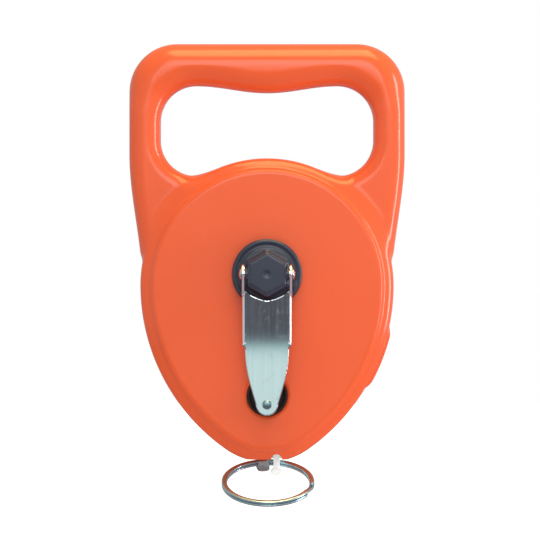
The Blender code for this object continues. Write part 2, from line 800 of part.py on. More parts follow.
def tape_lead_in():
    """The tape where it leaves the coil and bends over the guide roller."""
    wrap = ROLLER_R + FIT / 2 + TAPE_THICK / 2
    leave = COIL_R + FIT + TAPE_THICK / 2
    centre = math.atan2(ROLLER_Y, ROLLER_X)
    spread = math.acos((leave + wrap) / math.hypot(ROLLER_X, ROLLER_Y))
    touch = centre + spread
    start = (leave * math.cos(touch), leave * math.sin(touch))
    bend = arc(ROLLER_X, ROLLER_Y, wrap, touch + math.pi, math.pi, math.radians(12))
    outline = ribbon([start] + bend, TAPE_THICK)
    return tape_print(plate("tape_lead_in", [outline], TAPE_LOW, TAPE_HIGH, CASE))


def tape_end():
    """The last stretch of the tape, and the nylon tab riveted to it."""
    top, joint = ROLLER_Y - FIT, TAB_TOP - TAB_SLIT
    half = TAPE_THICK / 2
    half_width = TAPE_WIDTH / 2
    low, high = -half_width, half_width
    tongue = block("tape_tongue", (-half, joint, low), (half, top, high), TAPE)
    side = TAB_THICK / 2
    tab = block("end_tab", (-side, TAB_END, low), (side, TAB_TOP, high), TAPE)
    foot = TAB_THICK * 0.36
    bead = rod("bead", side + foot, low, high, TAPE, (0, TAB_END + side), 20)
    join(tab, bead)
    cut = half + FIT / 2
    carve(tab, block("slit", (-cut, joint - FIT, -1), (cut, 0, 1), TAPE))
    carve(tab, cross_rod("ring_hole", TAB_HOLE_R, -0.01, 0.01, 0, TAPE, RING_HINGE_Y))
    spots = [(TAB_RIVET_Y, lift) for lift in (-TAB_RIVET_SPREAD, TAB_RIVET_SPREAD)]
    shank, head = TAB_RIVET_R, TAB_RIVET_HEAD_R
    rivets = []
    for number, (y, lift) in enumerate(spots, 1):
        hole = shank + FIT / 2
        carve(tab, cross_rod("hole", hole, -0.01, 0.01, lift, TAPE, y, 12))
        carve(tongue, cross_rod("hole", hole, -0.01, 0.01, lift, TAPE, y, 12))
        rivet = cross_rod(f"tab_rivet_{number}", shank, -side - 0.0005, side + 0.0005, lift, TAPE, y, 12)
        for face in (-1, 1):
            inner, outer = face * (side + 0.0002), face * (side + 0.0006)
            cap = cross_rod("head", head, min(inner, outer), max(inner, outer), lift, TAPE, y, 12)
            join(rivet, cap)
        rivets.append(steel(rivet))
    return [tape_print(tongue), white_nylon(tab)] + rivets


# ---------------------------------------------------------------- end ring and claw

def ring_plane():
    """From the ring's own plane, centred on the hinge line, to where it lies at rest."""
    return Matrix.Rotation(RING_TILT - math.pi / 2, 4, "X")


def end_ring():
    bpy.ops.mesh.primitive_torus_add(
        major_segments=56, minor_segments=14, major_radius=RING_MEAN_R, minor_radius=RING_WIRE_R
    )
    torus = bpy.context.object
    mesh = torus.data.copy()
    mesh.name = "end_ring"
    bpy.data.objects.remove(torus)
    mesh.transform(Matrix.Translation((RING_X - TAPE_X, -RING_REACH, 0)))
    mesh.transform(ring_plane())
    return chrome(new_object("end_ring", mesh, RING))


def claw_seat():
    """Where the claw sits on the ring's wire, in the ring's plane, and the wire's slant there."""
    offset = CLAW_X - RING_X
    slant = math.asin(offset / RING_MEAN_R)
    y = RING_MEAN_R * math.cos(slant) - RING_REACH
    return Vector((CLAW_X - TAPE_X, y, 0)), slant


def ring_claw():
    """A steel tongue folded round the ring's wire, with a turned-up hook at its end."""
    seat, slant = claw_seat()
    inner = RING_WIRE_R + CLAW_CLEAR
    outer = inner + CLAW_SHEET
    half = CLAW_WIDTH / 2
    claw = cross_rod("ring_claw", outer, -half, half, 0, RING, sides=24)
    tongue = block("tongue", (-half, -CLAW_LENGTH, -outer), (half, 0, -inner), RING)
    hook_high = 0.0022 - inner
    hook = block("hook", (-half, -CLAW_LENGTH, -outer), (half, CLAW_SHEET - CLAW_LENGTH, hook_high), RING)
    join(claw, tongue, hook)
    carve(claw, cross_rod("wire_way", inner, -half * 2, half * 2, 0, RING, sides=24))
    claw.data.transform(Matrix.Rotation(-slant, 4, "Z"))
    claw.data.transform(Matrix.Translation(seat))
    claw.data.transform(ring_plane())
    return chrome(claw)


# ---------------------------------------------------------------- crank

def hexagon(radius, rounding):
    """A hexagon with rounded corners, two of them up and down the page."""
    points = []
    reach = radius - rounding / math.cos(math.radians(30))
    for i in range(6):
        middle = math.radians(90 + 60 * i)
        x, y = reach * math.cos(middle), reach * math.sin(middle)
        points += arc(x, y, rounding, middle - math.radians(30), middle + math.radians(30), 0.6)
    return without_doubles(points)


def crank_hub():
    low = CASE_DEPTH + HUB_GAP
    top = low + HUB_THICK
    hub = turned(
        "crank_hub",
        [
            (0, top),
            (HUB_R - 0.0052, top),
            (HUB_R - 0.0022, top - 0.0007),
            (HUB_R - 0.0005, top - 0.0021),
            (HUB_R, low + 0.0009),
            (HUB_R - 0.0006, low),
            (0, low),
        ],
        DRUM,
        steps=56,
    )
    boss_top = CASE_DEPTH + BOSS_TOP
    boss = plate("boss", [hexagon(BOSS_R, BOSS_CHAMFER * 1.6)], low + 0.0010, boss_top, DRUM)
    round_edges(boss, BOSS_CHAMFER, 2, 50)
    ear_gap = ARM_HALF - ARM_SHEET - FIT
    trunnion = cross_rod("trunnion", HINGE_PIN_R + 0.0016, -ear_gap, ear_gap, HINGE_Z, DRUM)
    join(hub, boss, trunnion)
    slack = FIT / 2
    tang = (SPINDLE_R * 0.8 + slack, TANG_THICK / 2 + slack)
    socket = block("socket", (-tang[0], -tang[1], 0), (tang[0], tang[1], HINGE_Z + TANG_OVER + slack), DRUM)
    journal = rod("journal", SPINDLE_R + slack, 0, low + slack, DRUM)
    cross = cross_rod("cross_hole", HINGE_PIN_R + RUNNING, -0.02, 0.02, HINGE_Z, DRUM)
    carve(hub, socket, journal, cross)
    return black_plastic(hub)


def hinge_pin():
    reach = ARM_HALF + FIT
    pin = cross_rod("hinge_pin", HINGE_PIN_R, -reach, reach, HINGE_Z, DRUM)
    head = 0.0007
    caps = [
        cross_rod("cap", HINGE_PIN_R * 1.5, reach - head * 0.2, reach + head, HINGE_Z, DRUM),
        cross_rod("cap", HINGE_PIN_R * 1.5, -reach - head, -reach + head * 0.2, HINGE_Z, DRUM),
    ]
    return steel(join(pin, *caps))


def web_outline():
    """The arm's flat sheet: wide between the ears, stepped in at the bend and tapering to its tip."""
    notch = [
        (ARM_HALF, ARM_ROOT_Y),
        (ARM_HALF, ARM_BEND_Y + 0.0012),
        (ARM_HALF - 0.0002, ARM_BEND_Y),
        (BLADE_HALF + 0.0002, ARM_BEND_Y - ARM_STEP),
    ]
    sides = []
    for i in range(7):
        share = i / 6
        y = ARM_BEND_Y - ARM_STEP + (KNOB_Y + 0.0015 - ARM_BEND_Y + ARM_STEP) * share
        bulge = BLADE_BULGE * math.sin(math.pi * share)
        sides.append((BLADE_HALF + (TIP_HALF - BLADE_HALF) * share + bulge, y))
    tip = arc(0, KNOB_Y, TIP_HALF, math.radians(12), math.radians(-90), math.radians(15))
    mouth = [(ARM_HALF - ARM_SHEET, ARM_ROOT_Y), (0.0062, -0.0112), (0.0030, -0.0132)]
    right = mouth[::-1] + notch + sides[1:] + tip
    left = [(-x, y) for x, y in reversed(right)]
    return without_doubles([(0, -0.0137)] + right + left)


def bend_down(mesh):
    """Slopes the stretch between hinge and bend, so that the blade runs low and level."""
    slope = (HINGE_LIFT + ARM_SHEET / 2 - ARM_FLAT_LIFT) / -ARM_BEND_Y
    for vertex in mesh.vertices:
        along = max(0.0, min(1.0, vertex.co.y / ARM_BEND_Y))
        vertex.co.z -= slope * -ARM_BEND_Y * along


def crank_arm():
    """A pressed steel arm: a flat web with two side flanges that end in the hinge ears."""
    half_sheet = ARM_SHEET / 2
    web = plate("crank_arm", [web_outline()], -half_sheet, half_sheet, CRANK)
    bottom = half_sheet - FLANGE_DROP
    side = [
        (ARM_BEND_Y + 0.0006, half_sheet),
        (ARM_BEND_Y + 0.0006, half_sheet - FLANGE_DROP * 0.55),
        (ARM_BEND_Y + 0.0060, bottom),
        (-EAR_R * 1.2, -EAR_R),
    ]
    ear = arc(0, 0, EAR_R, math.radians(-100), math.radians(95), math.radians(15))
    profile = without_doubles(side + ear + [(ARM_ROOT_Y, half_sheet)])
    flanges = []
    for sign in (-1, 1):
        flange = plate("flange", [profile], 0, ARM_SHEET, CRANK)
        # The profile is drawn as (y, lift): stand it up along the arm.
        flange.data.transform(Matrix(((0, 0, 1, 0), (1, 0, 0, 0), (0, 1, 0, 0), (0, 0, 0, 1))))
        edge = ARM_HALF - ARM_SHEET if sign > 0 else -ARM_HALF
        flange.data.transform(Matrix.Translation((edge, 0, 0)))
        flanges.append(flange)
    join(web, *flanges)
    refine(web.data)
    bend_down(web.data)
    hole = HINGE_PIN_R + RUNNING
    carve(web, cross_rod("pin_hole", hole, -0.02, 0.02, 0, CRANK))
    rivet_hole = RIVET_R + FIT / 2
    carve(web, rod("rivet_hole", rivet_hole, -0.02, 0.02, CRANK, (0, KNOB_Y), 16))
    return chrome(web)


def refine(mesh):
    """Adds a cut across the arm at the bend, so that it folds there."""
    work = bmesh.new()
    work.from_mesh(mesh)
    for y in (0.0, ARM_BEND_Y):
        geometry = work.verts[:] + work.edges[:] + work.faces[:]
        bmesh.ops.bisect_plane(work, geom=geometry, dist=1e-7, plane_co=(0, y, 0), plane_no=(0, 1, 0))
    bmesh.ops.triangulate(work, faces=work.faces)
    work.to_mesh(mesh)
    work.free()


def crank_knob():
    """The finger knob under the arm's tip, its rivet and the washer between them."""
    over_face = -HINGE_LIFT  # the case's front face, seen from the hinge
    blade_under = over_face + ARM_FLAT_LIFT - ARM_SHEET
    washer_thick = 0.0005
    washer_low = blade_under - FIT / 2 - washer_thick
    washer_high = blade_under - FIT / 2
    place = (0, KNOB_Y)
    washer_bore = RIVET_R + FIT / 2
    washer = sleeve("knob_washer", washer_bore, KNOB_R * 0.7, washer_low, washer_high, CRANK, place, 24)
    low, high = over_face + KNOB_GAP, washer_low - FIT / 2
    bore = RIVET_R + RUNNING
    sink = low + 0.0016
    knob = turned(
        "crank_knob",
        [
            (bore, high),
            (KNOB_R - 0.0010, high),
            (KNOB_R - 0.0002, high - 0.0009),
            (KNOB_R - 0.0009, (low + high) / 2),
            (KNOB_R, low + 0.0014),
            (KNOB_R - 0.0010, low),
            (RIVET_R * 2, low),
            (RIVET_R * 2, sink),
            (bore, sink),
        ],
        KNOB,
        steps=32,
    )
    rivet = turned(
        "knob_rivet",
        [
            (0, over_face + ARM_FLAT_LIFT + 0.0009),
            (RIVET_HEAD_R * 0.6, over_face + ARM_FLAT_LIFT + 0.0008),
            (RIVET_HEAD_R, over_face + ARM_FLAT_LIFT + FIT / 2),
            (RIVET_R, over_face + ARM_FLAT_LIFT + FIT / 2),
            (RIVET_R, sink - FIT / 2),
            (RIVET_R * 1.7, sink - FIT / 2),
            (RIVET_R * 1.5, low + 0.0004),
            (0, low + 0.0004),
        ],
        CRANK,
        (0, KNOB_Y),
        24,
    )
    return [acetal(washer), black_plastic(knob), steel(rivet)]


# ---------------------------------------------------------------- assembly

def main():
    blank = case_blank()
    front_shell(blank)
    rear_shell(blank)
    bpy.data.objects.remove(blank)
    for number, spot in enumerate(SCREW_SPOTS, 1):
        shell_screw(number, spot)
    bushes()
    knob_cup()
    throat_liner()
    guide_roller()
    spindle()
    spool()
    tape_anchor()
    tape_coil()
    drag_washer()
    thrust_sleeve()
    tape_lead_in()
    tape_end()
    end_ring()
    ring_claw()
    crank_hub()
    hinge_pin()
    crank_arm()
    crank_knob()


main()
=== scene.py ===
"""The looks of a closed-case surveyor's tape reel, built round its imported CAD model."""

import math

import bmesh
import bpy
import numpy as np
from mathutils import Matrix, Vector


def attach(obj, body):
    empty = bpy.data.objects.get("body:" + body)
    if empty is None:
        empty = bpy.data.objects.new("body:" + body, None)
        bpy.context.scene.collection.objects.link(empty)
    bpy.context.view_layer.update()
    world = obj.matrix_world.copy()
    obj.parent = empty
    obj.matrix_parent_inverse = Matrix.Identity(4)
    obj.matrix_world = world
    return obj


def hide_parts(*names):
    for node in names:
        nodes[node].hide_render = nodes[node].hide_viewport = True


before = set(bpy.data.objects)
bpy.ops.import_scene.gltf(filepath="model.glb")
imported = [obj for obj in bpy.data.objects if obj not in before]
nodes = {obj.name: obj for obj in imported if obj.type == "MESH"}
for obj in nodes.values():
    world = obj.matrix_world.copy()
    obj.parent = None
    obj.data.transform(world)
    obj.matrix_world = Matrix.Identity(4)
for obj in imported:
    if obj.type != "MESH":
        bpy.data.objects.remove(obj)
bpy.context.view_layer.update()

# ---------------------------------------------------------------- studio
# A white board well below the reel, clear of the ring when it hangs and the tape when it is drawn
# out, soft boxes above, in front and to the right, and a long lens straight at the crank side.

CAMERA_AT = (0.0015, -3.030, 0.0020)
FLOOR_Z = -0.20

scene = bpy.context.scene
scene.view_settings.view_transform = "Standard"

lens = bpy.data.cameras.new("camera")
lens.lens = 400.0
lens.sensor_width = 36.0
lens.clip_start = 0.02
camera = bpy.data.objects.new("camera", lens)
camera.location = CAMERA_AT
camera.rotation_euler = (math.radians(90), 0, 0)
scene.collection.objects.link(camera)
scene.camera = camera


def soft_box(name, place, aim, size, power, colour):
    """A rectangular soft light at a place, turned to face a point."""
    light = bpy.data.lights.new(name, "AREA")
    light.shape = "RECTANGLE"
    light.size, light.size_y = size
    light.energy = power
    light.color = colour
    lamp = bpy.data.objects.new(name, light)
    lamp.location = place
    lamp.rotation_euler = (Vector(aim) - Vector(place)).to_track_quat("-Z", "Y").to_euler()
    scene.collection.objects.link(lamp)


soft_box("top_strip", (0.10, -0.22, 0.80), (0, 0, 0), (0.60, 0.50), 4.9, (1.0, 0.74, 0.30))
soft_box("right_strip", (0.75, -0.16, 0.10), (0, 0, 0), (0.12, 0.60), 2.8, (1.0, 0.93, 0.95))
soft_box("front_fill", (0.05, -0.98, 0.38), (0, 0, 0), (0.5, 0.5), 2.0, (1.0, 0.98, 0.98))

# The room round the reel by height: a pale floor that dims towards a dark card in front, a bright
# cool band just under eye level, and a warm ceiling. Seen directly, it is plain white.
SKY_STEPS = (
    (-1.0, (0.56, 0.48, 0.52)),
    (-0.30, (0.32, 0.21, 0.25)),
    (-0.125, (0.058, 0.046, 0.070)),
    (-0.100, (0.075, 0.075, 0.100)),
    (-0.060, (0.36, 0.58, 0.60)),
    (-0.030, (0.78, 1.0, 1.0)),
    (0.10, (0.62, 0.76, 0.78)),
    (0.45, (0.52, 0.50, 0.47)),
    (1.0, (0.95, 0.80, 0.55)),
)
sky = bpy.data.worlds.new("studio_sky")
sky.use_nodes = True
scene.world = sky
sky_nodes, sky_links = sky.node_tree.nodes, sky.node_tree.links
sky_nodes.clear()
sky_out = sky_nodes.new("ShaderNodeOutputWorld")
sky_mix = sky_nodes.new("ShaderNodeMixShader")
sky_seen = sky_nodes.new("ShaderNodeBackground")
sky_seen.inputs["Color"].default_value = (1, 1, 1, 1)
sky_light = sky_nodes.new("ShaderNodeBackground")
sky_light.inputs["Strength"].default_value = 0.80
sky_path = sky_nodes.new("ShaderNodeLightPath")
sky_where = sky_nodes.new("ShaderNodeTexCoord")
sky_split = sky_nodes.new("ShaderNodeSeparateXYZ")
sky_ramp = sky_nodes.new("ShaderNodeValToRGB")
for number, (height, colour) in enumerate(SKY_STEPS):
    place = (height + 1) / 2
    stops = sky_ramp.color_ramp.elements
    stop = stops[number] if number < 1 else (stops[-1] if number == 1 else stops.new(place))
    stop.position = place
    stop.color = (*colour, 1)
sky_links.new(sky_where.outputs["Generated"], sky_split.inputs["Vector"])


def sky_share(direction, start, end):
    """Rises from 0 to 1 as the view's X, Y or Z part goes from start to end."""
    share = sky_nodes.new("ShaderNodeMapRange")
    share.inputs["From Min"].default_value = start
    share.inputs["From Max"].default_value = end
    sky_links.new(sky_split.outputs[direction], share.inputs["Value"])
    return share.outputs["Result"]


sky_links.new(sky_share("Z", -1.0, 1.0), sky_ramp.inputs["Fac"])
# The dark card stands in front only: to the sides, the same heights are pale.
sky_side = sky_nodes.new("ShaderNodeMath")
sky_side.operation = "SUBTRACT"
sky_side.use_clamp = True
sky_links.new(sky_share("Z", -0.34, -0.20), sky_side.inputs[0])
sky_links.new(sky_share("Y", -0.62, -0.86), sky_side.inputs[1])
sky_keep = sky_nodes.new("ShaderNodeMath")
sky_keep.operation = "MULTIPLY"
sky_links.new(sky_side.outputs[0], sky_keep.inputs[0])
sky_links.new(sky_share("Z", 0.10, 0.0), sky_keep.inputs[1])
sky_blend = sky_nodes.new("ShaderNodeMix")
sky_blend.data_type = "RGBA"
sky_blend.inputs["B"].default_value = (0.60, 0.66, 0.72, 1)
sky_links.new(sky_keep.outputs[0], sky_blend.inputs["Factor"])
sky_links.new(sky_ramp.outputs["Color"], sky_blend.inputs["A"])
sky_links.new(sky_blend.outputs["Result"], sky_light.inputs["Color"])
sky_links.new(sky_path.outputs["Is Camera Ray"], sky_mix.inputs["Fac"])
sky_links.new(sky_light.outputs["Background"], sky_mix.inputs[1])
sky_links.new(sky_seen.outputs["Background"], sky_mix.inputs[2])
sky_links.new(sky_mix.outputs["Shader"], sky_out.inputs["Surface"])

board_mesh = bpy.data.meshes.new("board")
board_work = bmesh.new()
bmesh.ops.create_grid(board_work, x_segments=1, y_segments=1, size=6.0)
bmesh.ops.translate(board_work, vec=(0, 0, FLOOR_Z), verts=board_work.verts)
board_work.to_mesh(board_mesh)
board_work.free()
board = bpy.data.objects.new("board", board_mesh)
board.visible_glossy = False
scene.collection.objects.link(board)
board_paint = bpy.data.materials.new("board_white")
board_paint.use_nodes = True
board_nodes, board_links = board_paint.node_tree.nodes, board_paint.node_tree.links
board_shader = board_nodes["Principled BSDF"]
board_shader.inputs["Base Color"].default_value = (0.82, 0.74, 0.74, 1)
board_shader.inputs["Roughness"].default_value = 0.9
board_shader.inputs["Emission Color"].default_value = (1, 1, 1, 1)
board_path = board_nodes.new("ShaderNodeLightPath")
board_links.new(board_path.outputs["Is Camera Ray"], board_shader.inputs["Emission Strength"])
board_mesh.materials.append(board_paint)

# ---------------------------------------------------------------- moulded case shells
# Two injection-moulded shells of orange ABS: an egg-shaped drum case with a carrying handle
# that runs into it in one soft sweep. They are screwed together from behind, along a flat seam.

CASE_DEPTH = 36.0
CASE_DROP = 5.5
TOP_R = 63.4
FLANK_R = 100.5
NOSE_R = 36.0
NOSE_END = 92.8
HANDLE_HALF = 69.0
HANDLE_TOP = 115.3
HANDLE_CORNER = 24.0
HANDLE_LOW, HANDLE_HIGH = 5.0, 31.0
LEG_ROUND, BAR_ROUND = 7.6, 11.0
WAIST_HALF = 62.5
LEG_TOP, LEG_END = 60.0, -6.0
TUCK_IN, TUCK_FROM = 12.0, 12.0
GRIP_HALF = 53.3
GRIP_TOP, GRIP_BOTTOM = 94.2, 49.0
GRIP_CORNER = 18.0
GRIP_SAG = 3.5
BLEND, BLEND_LOW = 5.0, 1.5
BLEND_FROM, BLEND_RUN = 8.0, 22.0
BAR_FROM, BAR_RUN = 80.0, 15.0
STEP_IN, STEP_DOWN, SHOULDER_R = 5.4, 2.0, 4.0
SHOULDER_TILT, SHOULDER_SOFT = math.radians(33), 2.5
FACE_R, FACE_SOFT = 2.0, 1.6
PAD_HEIGHT, PAD_HALF_DEPTH, PAD_EDGE = 1.5, 9.0, 0.7
PAD_RAMP = 6.0
PAD_ROOT = 8.0
PAD_FROM, PAD_TO = math.radians(-12), math.radians(-31)
SEAM = 0.3
WALL = 2.4
TAPE_X, TAPE_Y = 4.8, -15.8
RING_AT_Z = -94.8
RING_GROOVE_R, NOTCH_R = 3.6, 2.7
LINER_HALF_X, LINER_HALF_Y, LINER_WALL, LINER_GAP = 2.9, 7.4, 0.8, 0.3
MOUTH_TOP = -78.0
WELL_Z, WELL_R, WELL_DEPTH, WELL_WALL = -60.8, 10.0, 7.5, 1.8
HUB_BORE_R = 6.2
SCREW_PAIRS = ((57.5, 101.0), (56.5, 43.0), (33.0, -65.0))
SCREW_SPOTS = tuple((side * x, z) for x, z in SCREW_PAIRS for side in (-1, 1))
COLUMN_R, COLUMN_BACK = 4.2, 1.2
SCREW_SINK, SCREW_HOLE_R, SCREW_HEAD_HOLE_R = 3.0, 1.8, 3.2
CLEAR = 60.0
MM = 0.001


def corner(a, b):
    """Distance to the edge where two faces meet, round outside it and square inside."""
    return np.hypot(np.maximum(a, 0), np.maximum(b, 0)) + np.minimum(np.maximum(a, b), 0)


def eased(share):
    """A share from 0 to 1, slow at both ends."""
    return share * share * (3 - 2 * share)


def slab(flat, y, low, high, rounding):
    """Distance to a plate of a flat outline between two depths, with rounded rims."""
    across = flat + rounding
    depth = np.abs(-y - (low + high) / 2) - ((high - low) / 2 - rounding)
    return corner(across, depth) - rounding


def egg(x, z):
    """Distance to the drum case's outline: a round top, two long flanks and a blunt nose."""
    side, drop = np.abs(x), z + CASE_DROP
    flank_x = FLANK_R - TOP_R
    nose_z = -math.sqrt((FLANK_R - NOSE_R) ** 2 - flank_x**2)
    top = np.hypot(side, drop) - TOP_R
    flank = np.hypot(side + flank_x, drop) - FLANK_R
    nose = np.hypot(side, drop - nose_z) - NOSE_R
    on_nose = (nose_z - drop) * flank_x > side * -nose_z
    low = np.where(on_nose, nose, flank)
    return np.where(drop >= 0, top, low)


def handle(x, z):
    """Distance to the handle's outline, with the hand's opening taken out."""
    share = np.clip((z - LEG_END) / (LEG_TOP - LEG_END), 0, 1)
    half = WAIST_HALF + (HANDLE_HALF - WAIST_HALF) * eased(share)
    half = half - TUCK_IN * (np.clip(TUCK_FROM - z, 0, None) / (TUCK_FROM - LEG_END)) ** 2
    across = np.abs(x) - (half - HANDLE_CORNER)
    up = z - (HANDLE_TOP - HANDLE_CORNER)
    outer = corner(across, up) - HANDLE_CORNER
    outer = np.maximum(outer, LEG_END - z)
    middle = GRIP_HALF - GRIP_CORNER
    wave = np.cos(np.clip(np.abs(x) / middle, 0, 1) * math.pi)
    top = GRIP_TOP - GRIP_SAG * (1 + wave) / 2
    in_x = np.abs(x) - middle
    in_z = np.maximum(z - (top - GRIP_CORNER), GRIP_BOTTOM + GRIP_CORNER - z)
    hole = corner(in_x, in_z) - GRIP_CORNER
    return np.maximum(outer, -hole)


def pad(x, z):
    """Distance to the thin crescent raised on the right flank."""
    dx, dz = x + (FLANK_R - TOP_R), z + CASE_DROP
    radius, turn = np.hypot(dx, dz), np.arctan2(dz, dx)
    inside = np.clip(np.minimum(PAD_FROM - turn, turn - PAD_TO) * FLANK_R / PAD_RAMP, -1, 1)
    height = PAD_HEIGHT * np.clip(inside * (2 - inside), -1, 1)
    ends = np.maximum(turn - PAD_FROM, PAD_TO - turn) * FLANK_R
    return np.maximum(np.maximum(radius - FLANK_R - height, FLANK_R - PAD_ROOT - radius), ends)


def soft_union(a, b, reach):
    """The nearer of two distances, with the inner corner between the shapes filled."""
    near = np.maximum(reach - np.abs(a - b), 0) / reach
    return np.minimum(a, b) - near**2 * reach / 4


def case_distance(x, y, z):
    """Distance to the whole moulding, in millimetres."""
    outline = egg(x, z)
    shoulder = slab(outline, y, STEP_DOWN, CASE_DEPTH - STEP_DOWN, SHOULDER_R)
    sunk = np.abs(y + CASE_DEPTH / 2) - CASE_DEPTH / 2 + STEP_DOWN
    slope = math.sin(SHOULDER_TILT) * (outline + STEP_IN) + math.cos(SHOULDER_TILT) * sunk
    shoulder = -soft_union(-shoulder, -slope, SHOULDER_SOFT)
    face = slab(outline + STEP_IN, y, 0, CASE_DEPTH, FACE_R)
    drum = np.maximum(soft_union(shoulder, face, FACE_SOFT), -NOSE_END - z)
    on_bar = eased(np.clip((z - BAR_FROM) / BAR_RUN, 0, 1))
    rounding = LEG_ROUND + (BAR_ROUND - LEG_ROUND) * on_bar
    bail = slab(handle(x, z), y, HANDLE_LOW, HANDLE_HIGH, rounding)
    middle = CASE_DEPTH / 2
    grip = slab(pad(x, z), y, middle - PAD_HALF_DEPTH, middle + PAD_HALF_DEPTH, PAD_EDGE)
    reach = BLEND_LOW + (BLEND - BLEND_LOW) * eased(np.clip((z - BLEND_FROM) / BLEND_RUN, 0, 1))
    return np.minimum(soft_union(drum, bail, reach), grip)


def surface_of(distance, low, high, step, settle):
    """Closed quads along a distance field's zero, one point to each grid cell that it crosses."""
    axes = [np.arange(a, b + step, step) for a, b in zip(low, high)]
    field = distance(*np.meshgrid(*axes, indexing="ij"))
    cells = tuple(n - 1 for n in field.shape)
    total, count = np.zeros(cells + (3,)), np.zeros(cells)
    crossings = []
    for axis in range(3):
        u, v = (axis + 1) % 3, (axis + 2) % 3
        first = np.moveaxis(field, axis, 0)[:-1]
        second = np.moveaxis(field, axis, 0)[1:]
        first, second = np.moveaxis(first, 0, axis), np.moveaxis(second, 0, axis)
        crossed = (first < 0) != (second < 0)
        share = np.where(crossed, first / np.where(crossed, first - second, 1), 0)
        crossings.append((crossed, first < 0))
        for du in (0, 1):
            for dv in (0, 1):
                part = [slice(None)] * 3
                part[u], part[v] = slice(du, du + cells[u]), slice(dv, dv + cells[v])
                here = crossed[tuple(part)]
                spot = np.indices(cells, dtype=float)
                spot[axis] += share[tuple(part)]
                spot[u] += du
                spot[v] += dv
                total += np.moveaxis(spot * here, 0, -1)
                count += here
    used = count > 0
    number = np.full(cells, -1)
    number[used] = np.arange(used.sum())
    points = total[used] / count[used][:, None] * step + np.array(low)
    quads = []
    for axis, (crossed, inside_first) in enumerate(crossings):
        u, v = (axis + 1) % 3, (axis + 2) % 3
        at = np.argwhere(crossed)
        at = at[(at[:, u] > 0) & (at[:, v] > 0) & (at[:, u] < cells[u]) & (at[:, v] < cells[v])]
        corners = []
        for du, dv in ((1, 1), (0, 1), (0, 0), (1, 0)):
            cell = at.copy()
            cell[:, u] -= du
            cell[:, v] -= dv
            corners.append(number[tuple(cell.T)])
        quad = np.stack(corners, axis=1)
        outward = inside_first[tuple(at.T)]
        quads.append(np.where(outward[:, None], quad, quad[:, ::-1]))
    for _ in range(settle):
        near = distance(*points.T)
        slope = np.stack(
            [distance(*(points + e).T) - distance(*(points - e).T) for e in np.eye(3) * 0.05], axis=1
        )
        slope /= 0.1
        move = (near / np.maximum((slope**2).sum(1), 0.25))[:, None] * slope
        points = points - np.clip(move, -step / 3, step / 3)
    return points, np.concatenate(quads)


def new_piece(name, mesh):
    piece = bpy.data.objects.new(name, mesh)
    scene.collection.objects.link(piece)
    return piece


def mesh_of(name, points, faces):
    mesh = bpy.data.meshes.new(name)
    mesh.from_pydata((points * MM).tolist(), [], faces.tolist())
    return mesh


def baked(piece):
    """The piece with its modifiers worked into its mesh."""
    bpy.context.view_layer.update()
    seen = piece.evaluated_get(bpy.context.evaluated_depsgraph_get())
    mesh = bpy.data.meshes.new_from_object(seen)
    piece.modifiers.clear()
    piece.data = mesh
    return piece


def combine(piece, others, operation, solver="MANIFOLD"):
    """Joins, cuts or keeps what the piece shares with others, and removes the others."""
    for other in others:
        step = piece.modifiers.new("combine", "BOOLEAN")
        step.operation = operation
        step.solver = solver
        step.object = other
        baked(piece)
        bpy.data.objects.remove(other)
    return piece


def rod(name, radius, start, end, sides=48, end_radius=None):
    """A round bar between two points, in millimetres."""
    start, end = Vector(start), Vector(end)
    work = bmesh.new()
    top = radius if end_radius is None else end_radius
    bmesh.ops.create_cone(
        work, cap_ends=True, segments=sides, radius1=radius, radius2=top, depth=(end - start).length
    )
    turn = (end - start).to_track_quat("Z", "Y").to_matrix().to_4x4()
    bmesh.ops.transform(work, matrix=Matrix.Translation((start + end) / 2) @ turn, verts=work.verts)
    bmesh.ops.scale(work, vec=(MM, MM, MM), verts=work.verts)
    mesh = bpy.data.meshes.new(name)
    work.to_mesh(mesh)
    work.free()
    return new_piece(name, mesh)


def block(name, low, high):
    work = bmesh.new()
    bmesh.ops.create_cube(work, size=1)
    size = Vector(high) - Vector(low)
    bmesh.ops.scale(work, vec=size, verts=work.verts)
    bmesh.ops.translate(work, vec=Vector(low) + size / 2, verts=work.verts)
    bmesh.ops.scale(work, vec=(MM, MM, MM), verts=work.verts)
    mesh = bpy.data.meshes.new(name)
    work.to_mesh(mesh)
    work.free()
    return new_piece(name, mesh)


def turned(name, profile, centre=(0, 0, 0), steps=96):
    """A lathe profile of (radius, distance towards the crank side) points, turned about Y."""
    work = bmesh.new()
    points = [work.verts.new((radius, -out, 0)) for radius, out in profile]
    closed = profile[0][0] > 0
    pairs = list(zip(points, points[1:])) + ([(points[-1], points[0])] if closed else [])
    edges = [work.edges.new(pair) for pair in pairs]
    bmesh.ops.spin(
        work,
        geom=points + edges,
        cent=(0, 0, 0),
        axis=(0, 1, 0),
        angle=math.tau,
        steps=steps,
        use_merge=True,
    )
    bmesh.ops.remove_doubles(work, verts=work.verts, dist=1e-4)
    bmesh.ops.recalc_face_normals(work, faces=work.faces)
    bmesh.ops.translate(work, vec=centre, verts=work.verts)
    bmesh.ops.scale(work, vec=(MM, MM, MM), verts=work.verts)
    mesh = bpy.data.meshes.new(name)
    work.to_mesh(mesh)
    work.free()
    return new_piece(name, mesh)


def smooth(piece, angle=30):
    piece.data.shade_smooth()
    piece.data.set_sharp_from_angle(angle=math.radians(angle))
    return piece


CASE_LOW, CASE_HIGH = (-72.0, -38.0, -96.0), (73.0, 2.0, 118.0)
OUTER_STEP, INNER_STEP = 0.85, 1.7
skin_points, skin_faces = surface_of(case_distance, CASE_LOW, CASE_HIGH, OUTER_STEP, 3)
room_points, room_faces = surface_of(
    lambda x, y, z: case_distance(x, y, z) + WALL, CASE_LOW, CASE_HIGH, INNER_STEP, 2
)

